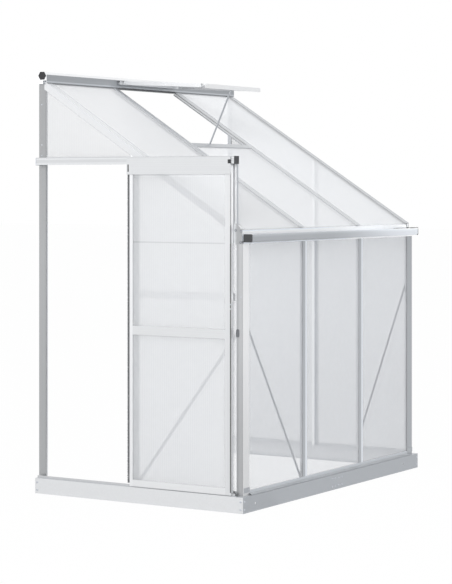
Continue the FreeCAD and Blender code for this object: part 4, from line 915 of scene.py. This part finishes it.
def solids_of(name):
    """Low and high corner of each separate solid in a CAD node, from the spread of numbers."""
    mesh = nodes[name].data
    places = np.empty(3 * len(mesh.vertices))
    mesh.vertices.foreach_get("co", places)
    places = places.reshape(-1, 3)
    same = np.unique(places.round(6), axis=0, return_inverse=True)[1].reshape(-1)
    ends = np.empty(len(mesh.loops), int)
    mesh.loops.foreach_get("vertex_index", ends)
    triangles = same[ends].reshape(-1, 3)
    number = np.arange(same.max() + 1)
    spreading = True
    while spreading:
        lowest = np.repeat(number[triangles].min(axis=1), 3)
        spread = number.copy()
        np.minimum.at(spread, triangles.ravel(), lowest)
        spreading = bool((spread != number).any())
        number = spread
    solids = [places[number[same] == k] for k in np.unique(number[same])]
    return [(solid.min(axis=0), solid.max(axis=0)) for solid in solids]


BASE_LOW = np.array(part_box("base_front_left")[0])
INSIDE = 40 * MM


def seat_of(low, high):
    """Middle of a screw's head end, and its way: outwards, or inwards where it is deep inside."""
    axis = int(np.argmin(high - low))
    middle = (low + high) / 2
    depth = abs(BASE_LOW[axis]) - abs(middle[axis])
    sign = -np.sign(middle[axis]) if depth > INSIDE else np.sign(middle[axis])
    outer = middle.copy()
    outer[axis] = high[axis] if sign > 0 else low[axis]
    direction = np.zeros(3)
    direction[axis] = sign
    return outer, direction


def frame_for(direction):
    """Rows of a right-handed frame whose third axis is the direction."""
    across = np.array([0.0, 0.0, 1.0])
    return np.array([across, np.cross(direction, across), direction])


base_seats = [seat_of(low, high) for low, high in solids_of("base_bolts")]
frame_seats = [seat_of(low, high) for low, high in solids_of("frame_bolts")]
print("base screws:", len(base_seats), "frame screws:", len(frame_seats))

# %% [markdown]
# ### Screw heads and nuts
#
# A pan head is a low dome with a cross recess. A boolean cut leaves ragged
# edges, so the recess is part of the height: a valley along two lines that
# cross in the middle of a flattened ellipse. On the base, the shank goes
# through both sheets and ends in a hexagon nut.

# %% Screw shapes
RECESS_ARM, ARM_EDGE = 0.17, 0.07
RECESS_END, END_EDGE = 0.62, 0.08
RECESS_DEPTH = 0.5


def turns(count):
    """Equal steps of angle round a ring."""
    return 2 * np.pi * np.arange(count) / count


def column(*values):
    """One value for each ring, ready to be spread over the ring's corners."""
    return np.array(values)[:, None]


def turned_rings(radii, heights, count):
    """A turned shape: radius times cosine and sine, and a height; six corners make a hexagon."""
    angle = turns(count)
    rings = [radii * np.cos(angle), radii * np.sin(angle), heights * np.ones(count)]
    return closed_rings(np.stack(rings, axis=-1))


def pan_head(radius, tall, count):
    """Dome: height = tall sqrt(1 - (r/radius)^3), less a cross-shaped valley near the middle."""
    share = column(0.02, 0.12, 0.22, 0.32, 0.42, 0.52, 0.62, 0.72, 0.84, 0.93, 0.98, 1.0)[::-1]
    across, along = share * np.cos(turns(count)), share * np.sin(turns(count))
    dome = np.sqrt(1 - share ** 3) * np.ones(count)
    arm = np.clip((RECESS_ARM - np.minimum(abs(across), abs(along))) / ARM_EDGE, 0, 1)
    within = np.clip((RECESS_END - share) / END_EDGE, 0, 1)
    height = tall * (dome - RECESS_DEPTH * arm * within) - tall
    return closed_rings(np.stack([radius * across, radius * along, height], axis=-1))


HEAD_R, HEAD_TALL = 6 * MM, 2.5 * MM
GRIP = 3 * MM
NUT_R, NUT_TALL = 5.5 * MM, 5 * MM
SHANK_R, SHANK_OUT = 3 * MM, 0.02 * MM
STUD_R, STUD_TALL = 4 * MM, 1.5 * MM
below = -HEAD_TALL - GRIP
nut = turned_rings(
    column(0.86 * NUT_R, NUT_R, NUT_R, 0.86 * NUT_R),
    column(below - NUT_TALL, below - 0.88 * NUT_TALL, below - 0.12 * NUT_TALL, below), 6)
shank = turned_rings(column(0.8 * SHANK_R, SHANK_R, SHANK_R),
                     column(below - NUT_TALL - SHANK_OUT, below - 0.9 * NUT_TALL, -HEAD_TALL), 20)
bolt = joined(pan_head(HEAD_R, HEAD_TALL, 40), nut, shank)
stud = pan_head(STUD_R, STUD_TALL, 32)
print("corners of a bolt:", len(bolt[0]), "and of a stud:", len(stud[0]))

# %% Screws in their places


def screws(name, surface, seats):
    """One copy of the surface on each seat, as one piece of the frame."""
    frames = np.array([frame_for(direction) for _, direction in seats])
    copies = repeated(*surface, frames, [seat for seat, _ in seats])
    return piece(name, copies, bright_zinc, "frame")


base_sets = screws("base_bolt_sets", bolt, base_seats)
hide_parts("base_bolts")
frame_heads = screws("frame_bolt_heads", stud, frame_seats)
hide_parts("frame_bolts")

# %% [markdown]
# ### Brush along the door
#
# A brush strip is a thin holder with tufts of bristles that are a little wider
# above their root. Single hairs would be many thousands, so each tuft is a
# small fluted spindle with a few dozen faces. A seeded lean keeps the row from
# looking like a comb.

# %% Door brush
brush_low, brush_high = np.array(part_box("door_brush_seal"))
HOLDER_DEEP, HOLDER_INSET = 4 * MM, 1 * MM
TUFT_PITCH, TUFT_GAP = 5 * MM, 4.4 * MM
TUFT_HALF, TUFT_HALF_UP = 1.5 * MM, 1.9 * MM
TUFT_SIDES, FLUTES, RIPPLE = 10, 5, 0.22
TIP_OUT = 5 * MM
LEAN = 0.6 * MM
GUIDE_TOP = at(0, 0, 96)[UP]


def bar_between(low, high, rim=0.6 * MM):
    """Upright strip with a small chamfer round both ends, from its low and high corner."""
    inset = np.array([rim, 0, 0, rim])
    heights = np.array([low[2], low[2] + rim, high[2] - rim, high[2]])
    signs = np.array([(-1, -1), (1, -1), (1, 1), (-1, 1)])
    middle = (np.array(low) + np.array(high))[:2] / 2
    half = (np.array(high) - np.array(low))[:2] / 2
    return closed_rings(carried(middle + signs * (half - inset[:, None, None]), heights, UP))


def tuft():
    """Fluted spindle one unit long: radius times 1 + 0.22 cos(5 angle), and a tip that follows."""
    ripple = 1 + RIPPLE * np.cos(FLUTES * turns(TUFT_SIDES))
    radii = column(0.6, 0.9, 1.0, 0.35) * ripple
    heights = column(0.0, 0.4, 0.7, 1.0) - 0.1 * (ripple - 1) * column(0, 0, 1, 1)
    return turned_rings(radii, heights, TUFT_SIDES)


def brush_rows():
    """Two rows of tufts, the second set half a pitch on, each leaning by a seeded amount."""
    random = np.random.default_rng(5)
    run = np.arange(GUIDE_TOP + TUFT_PITCH, brush_high[2] - TUFT_PITCH, TUFT_PITCH)
    middle = (brush_low[0] + brush_high[0]) / 2
    root = brush_low[1] + HOLDER_DEEP
    places = np.concatenate([
        np.stack([np.full_like(run, middle + side * TUFT_GAP / 2), np.full_like(run, root),
                  run + (side > 0) * TUFT_PITCH / 2], axis=-1)
        for side in (-1, 1)])
    count = len(places)
    lean = random.normal(0, LEAN, (count, 2)) * [0.5, 1.0]
    frames = np.zeros((count, 3, 3))
    frames[:, 0] = (TUFT_HALF, 0, 0)
    frames[:, 1] = (0, 0, -TUFT_HALF_UP)
    frames[:, 2, 0] = lean[:, 0]
    frames[:, 2, 1] = brush_high[1] - brush_low[1] - HOLDER_DEEP + TIP_OUT
    frames[:, 2, 2] = lean[:, 1]
    return repeated(*tuft(), frames, places)


holder = bar_between((brush_low[0] + HOLDER_INSET, brush_low[1], GUIDE_TOP),
                     (brush_high[0] - HOLDER_INSET, brush_low[1] + HOLDER_DEEP, brush_high[2]))
brush = piece("door_brush", joined(holder, brush_rows()), brush_pile, "door")
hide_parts("door_brush_seal")

# %% [markdown]
# ### Strips along the bars
#
# A soft seal strip has a D-shaped section. A bevelled curve could carry it, but
# on a straight run a half ellipse at both ends is enough. The same function
# makes the strips on the door's edge and on its cover, the one on the ridge
# above the vent, and the glazing beads.

# %% Seal strips


def strip(start, end, across, up, wide, tall, count=9):
    """Half ellipse, wide across and tall up, carried from start to end, all in drawn mm."""
    angle = np.linspace(0, np.pi, count)
    section = (np.cos(angle)[:, None] * np.array(across, float) * wide / 2
               + np.sin(angle)[:, None] * np.array(up, float) * tall)
    rings = np.array([start, end], float)[:, None, :] + section
    return closed_rings(at(0, 0, 0) + rings * MM)


OUTWARDS = -WAYS[ALONG_WALL]  # away from the door end
STILE_X, STILE_Y = 3.2, 74.2
# The door's edge seal also stands in for the shade in the gap behind the door: wide below the
# eave, narrower above it
SEAL_AND_GAP_SHADE_LENGTHS = [(98.0, 997.0, 4.4), (1004.0, 1019.0, 4.4), (1025.0, 1322.0, 4.4),
                (1322.5, 1412.0, 3.0), (1412.5, 1660.0, 1.5)]
COVER_Y = 681.5
door_edge = [strip((STILE_X, STILE_Y, low), (STILE_X, STILE_Y, high), WAYS[DEPTH], OUTWARDS,
                   wide, 0.5) for low, high, wide in SEAL_AND_GAP_SHADE_LENGTHS]
piece("door_edge_seal_and_gap_shade", joined(*door_edge), edge_rubber, "door")
cover_end = strip((0.0, COVER_Y, 1676.0), (0.0, COVER_Y, 1713.0), WAYS[DEPTH], OUTWARDS, 7.0, 0.8)
piece("door_cover_end_seal", cover_end, edge_rubber, "door")

VENT_TOP_Y, VENT_TOP_Z = 1214.7, 2141.0
vent_top = strip((673.0, VENT_TOP_Y, VENT_TOP_Z), (1247.0, VENT_TOP_Y, VENT_TOP_Z),
                 WAYS[UP], -WAYS[DEPTH], 8.0, 3.0)
piece("vent_top_seal", vent_top, brush_pile, "frame")

# %% [markdown]
# ### Glazing beads and the shade in the slots
#
# A pale rubber bead lies on the roof sheet along each side of a bar and holds
# the sheet down; its grey also stands in for the shade in the slot along the
# bar. It follows the slope, so it is a strip between two places on the sheet.
# In the middle bay the beads end at the sill of the vent.

# %% Glazing beads and slot shade
ROOF_FOOT = (45.0, 1397.5)
PANE_DROP = 2.2
ROOF_START, ROOF_END, VENT_SILL_EDGE = 42.0, 1203.0, 704.0
BEAD = 3.5
HALF_FACE = 20.0
FIRST_BAR, LAST_BAR = 35.0, 1885.0
STEEP = math.sqrt(1 + SLOPE ** 2)


def roof_strip(middle, low, high, wide, tall):
    """A bead on the roof sheet at this x, from y low to y high."""
    rise = [ROOF_FOOT[1] + SLOPE * (y - ROOF_FOOT[0]) - PANE_DROP * STEEP for y in (low, high)]
    return strip((middle, low, rise[0]), (middle, high, rise[1]), OUTWARDS,
                 (0, -SLOPE / STEEP, 1 / STEEP), wide, tall)


bay = (LAST_BAR - FIRST_BAR) / 3
beads = [  # bar, half faces from its drawn place to its side, upper end
    (FIRST_BAR, 2, ROOF_END), (FIRST_BAR + bay, -1, ROOF_END),
    (FIRST_BAR + bay, 1, VENT_SILL_EDGE), (FIRST_BAR + 2 * bay, -1, VENT_SILL_EDGE),
    (FIRST_BAR + 2 * bay, 1, ROOF_END), (LAST_BAR, -2, ROOF_END),
]
# The beads also paint the shade lines in the bars' slots
bead_strips = [roof_strip(bar + side * HALF_FACE + math.copysign(BEAD / 2, side), ROOF_START, high,
                          BEAD, BEAD) for bar, side, high in beads]
piece("roof_beads_and_slot_shade", joined(*bead_strips), bead_rubber_and_slot_shade, "frame")

# %% [markdown]
# ### Ends of the ridge
#
# The ridge is a hollow bar. A thin plate with its outline closes each end, and
# a small moulded cap with six sides sits on the plate. Its rounded rim and
# shallow dish are its outline at shrinking scales, which keeps the six corners.

# %% Ridge ends
ridge_low, ridge_high = np.array(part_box("ridge_beam"))
RIDGE_TALL, LEG_DEEP = 46 * MM, 34 * MM
TOP_DROP, TOP_RUN = 15 * MM, 26 * MM
PLATE, CAP_OUT = 1 * MM, 3 * MM
front_y, wall_y = ridge_low[1], ridge_high[1]
top_z, leg_z = ridge_high[2], ridge_low[2]
body_z = top_z - RIDGE_TALL
ridge_outline = np.array([
    (front_y, body_z), (wall_y - LEG_DEEP, body_z), (wall_y - LEG_DEEP, leg_z), (wall_y, leg_z),
    (wall_y, top_z), (front_y + TOP_RUN, top_z), (front_y, top_z - TOP_DROP)])


def plate_along_x(outline, x_low, x_high):
    """A flat plate: the outline at x low and again at x high."""
    return closed_rings(carried(np.stack([outline, outline]), (x_low, x_high), ALONG_WALL))


def moulded_cap(outline, x_inner, x_outer):
    """Cap with a rounded rim and a shallow dish: rings of the outline at shrinking scales."""
    scale = (1.0, 1.0, 0.97, 0.90, 0.72, 0.66, 0.1)
    depth = np.array([0.0, 0.55, 0.85, 1.0, 1.0, 0.70, 0.66])
    rings = carried(scaled(outline, scale), x_inner + depth * (x_outer - x_inner), ALONG_WALL)
    return closed_rings(rings if x_outer > x_inner else rings[:, ::-1])


CAP_MIDDLE = at(0, 1242.5, 2180.5)[1:]
CAP_HALF, CAP_FLAT, CAP_TALL = 25.5 * MM, 13.5 * MM, 20.5 * MM
hexagon = CAP_MIDDLE + np.array([
    (-CAP_HALF, 0), (-CAP_FLAT, -CAP_TALL), (CAP_FLAT, -CAP_TALL), (CAP_HALF, 0),
    (CAP_FLAT, CAP_TALL), (-CAP_FLAT, CAP_TALL)])
x_near, x_far = ridge_low[0], ridge_high[0]
plates = joined(plate_along_x(ridge_outline, x_near - PLATE, x_near),
                plate_along_x(ridge_outline, x_far, x_far + PLATE))
piece("ridge_end_plates", plates, end_metal, "frame")
caps = joined(moulded_cap(hexagon, x_near - PLATE, x_near - CAP_OUT),
              moulded_cap(hexagon, x_far + PLATE, x_far + CAP_OUT))
end_caps = piece("ridge_hexagon_caps", caps, dark_plastic, "frame")
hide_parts("ridge_end_caps")

# %% [markdown]
# ### Clip of the brace
#
# A small moulded clip covers the end of the side wall's brace on the corner
# post. A bevelled box would do, but its outline as a superellipse, which is a
# rectangle with rounded corners, lets the cap function above finish it.

# %% Brace clip
CLIP_MIDDLE = (51.5, 880.0)
CLIP_HALF = np.array([9.0, 20.0])
POST_FACE, CLIP_TALL = 35.0, 2.4
waves = np.stack([np.cos(turns(32)), np.sin(turns(32))], axis=-1)
rounded = np.sign(waves) * np.sqrt(abs(waves)) * CLIP_HALF
clip = moulded_cap(at(0, *CLIP_MIDDLE)[1:] + rounded * MM,
                   at(POST_FACE, 0, 0)[0], at(POST_FACE - CLIP_TALL, 0, 0)[0])
piece("brace_end_clip", clip, grey_plastic, "frame")

# %% [markdown]
# ### Washers on the track's bracket
#
# Dark washers sit under the three screws that hold the bracket at the corner.
# A washer is a short turned shape with one ring for each step of its radius,
# and one shape serves all three.

# %% Bracket washers
BRACKET_FACE = 32.0
WASHER_PLACES = ((30.6, 1382.0), (61.0, 1386.0), (33.5, 1328.0))
washer = turned_rings(column(6.2, 6.5, 6.5, 6.0) * MM, column(0.0, 0.1, 0.6, 0.8) * MM, 24)
facing_out = np.array([frame_for(OUTWARDS)] * len(WASHER_PLACES))
washers = repeated(*washer, facing_out, [at(BRACKET_FACE, y, z) for y, z in WASHER_PLACES])
piece("bracket_washers", washers, grey_plastic, "frame")

# %% [markdown]
# ### Plugs in open ends
#
# The door's top rail and the two gable rafters are hollow, and their cut ends
# would show as dark holes. A block with a chamfered face, just inside each
# open end, closes them.

# %% End plugs
rail_low, rail_high = np.array(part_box("door_top_rail"))
WALL, LIP = 1.7 * MM, 10 * MM
PLUG_LONG, PLUG_IN = 3 * MM, 0.4 * MM


def plug(low, high, y_outer, y_inner):
    """A block between two corners (x, z), drawn along Y, with a chamfered outer face."""
    outline = np.array([low, (high[0], low[1]), high, (low[0], high[1])])
    steps = (y_inner, y_outer + 0.3 * (y_inner - y_outer), y_outer)
    rings = carried(scaled(outline, (1.0, 1.0, 0.93)), steps, DEPTH)
    return closed_rings(rings if y_outer < y_inner else rings[:, ::-1])


low_end = (rail_low[0] + WALL, rail_low[2] + LIP + WALL)
high_end = (rail_high[0] - WALL, rail_high[2] - WALL)
plugs = joined(plug(low_end, high_end, rail_low[1] + PLUG_IN, rail_low[1] + PLUG_IN + PLUG_LONG),
               plug(low_end, high_end, rail_high[1] - PLUG_IN, rail_high[1] - PLUG_IN - PLUG_LONG))
piece("door_top_rail_plugs", plugs, end_metal, "door")

RAFTER_HOLLOWS = (37.3, 1867.3)
HOLLOW_WIDE, HOLLOW_LOW, HOLLOW_HIGH = 15.4, 1370.5, 1391.5
HOLLOW_Y, HOLLOW_IN = 41.4, 44.4
rafter_plugs = []
for x in RAFTER_HOLLOWS:
    low_x, y_outer, low_z = at(x, HOLLOW_Y, HOLLOW_LOW)
    high_x, y_inner, high_z = at(x + HOLLOW_WIDE, HOLLOW_IN, HOLLOW_HIGH)
    rafter_plugs.append(plug((low_x, low_z), (high_x, high_z), y_outer, y_inner))
piece("rafter_end_plugs", joined(*rafter_plugs), end_metal, "frame")

# %% [markdown]
# ### Edge of the gutter's far end
#
# A thin dark strip runs along the rim of the gutter's far end and down the
# corner of its end cap, and stands in for the shade on that lip and edge. It
# is two of the strips from above.

# %% Gutter shade line
RIM_Y, RIM_Z = -27.5, 1369.0
CAP_FACE = 1863.4
on_rim = strip((1560.0, RIM_Y, RIM_Z), (1862.0, RIM_Y, RIM_Z), WAYS[DEPTH], WAYS[UP], 3.0, 2.4)
on_cap = strip((CAP_FACE, RIM_Y, 1343.0), (CAP_FACE, RIM_Y, 1371.2), -WAYS[DEPTH],
               WAYS[ALONG_WALL], 3.0, 2.0)
# Painted shade: a dark strip on the shaded lip and on the cap's edge
piece("gutter_end_shade_line", joined(on_rim, on_cap), dark_plastic, "frame")
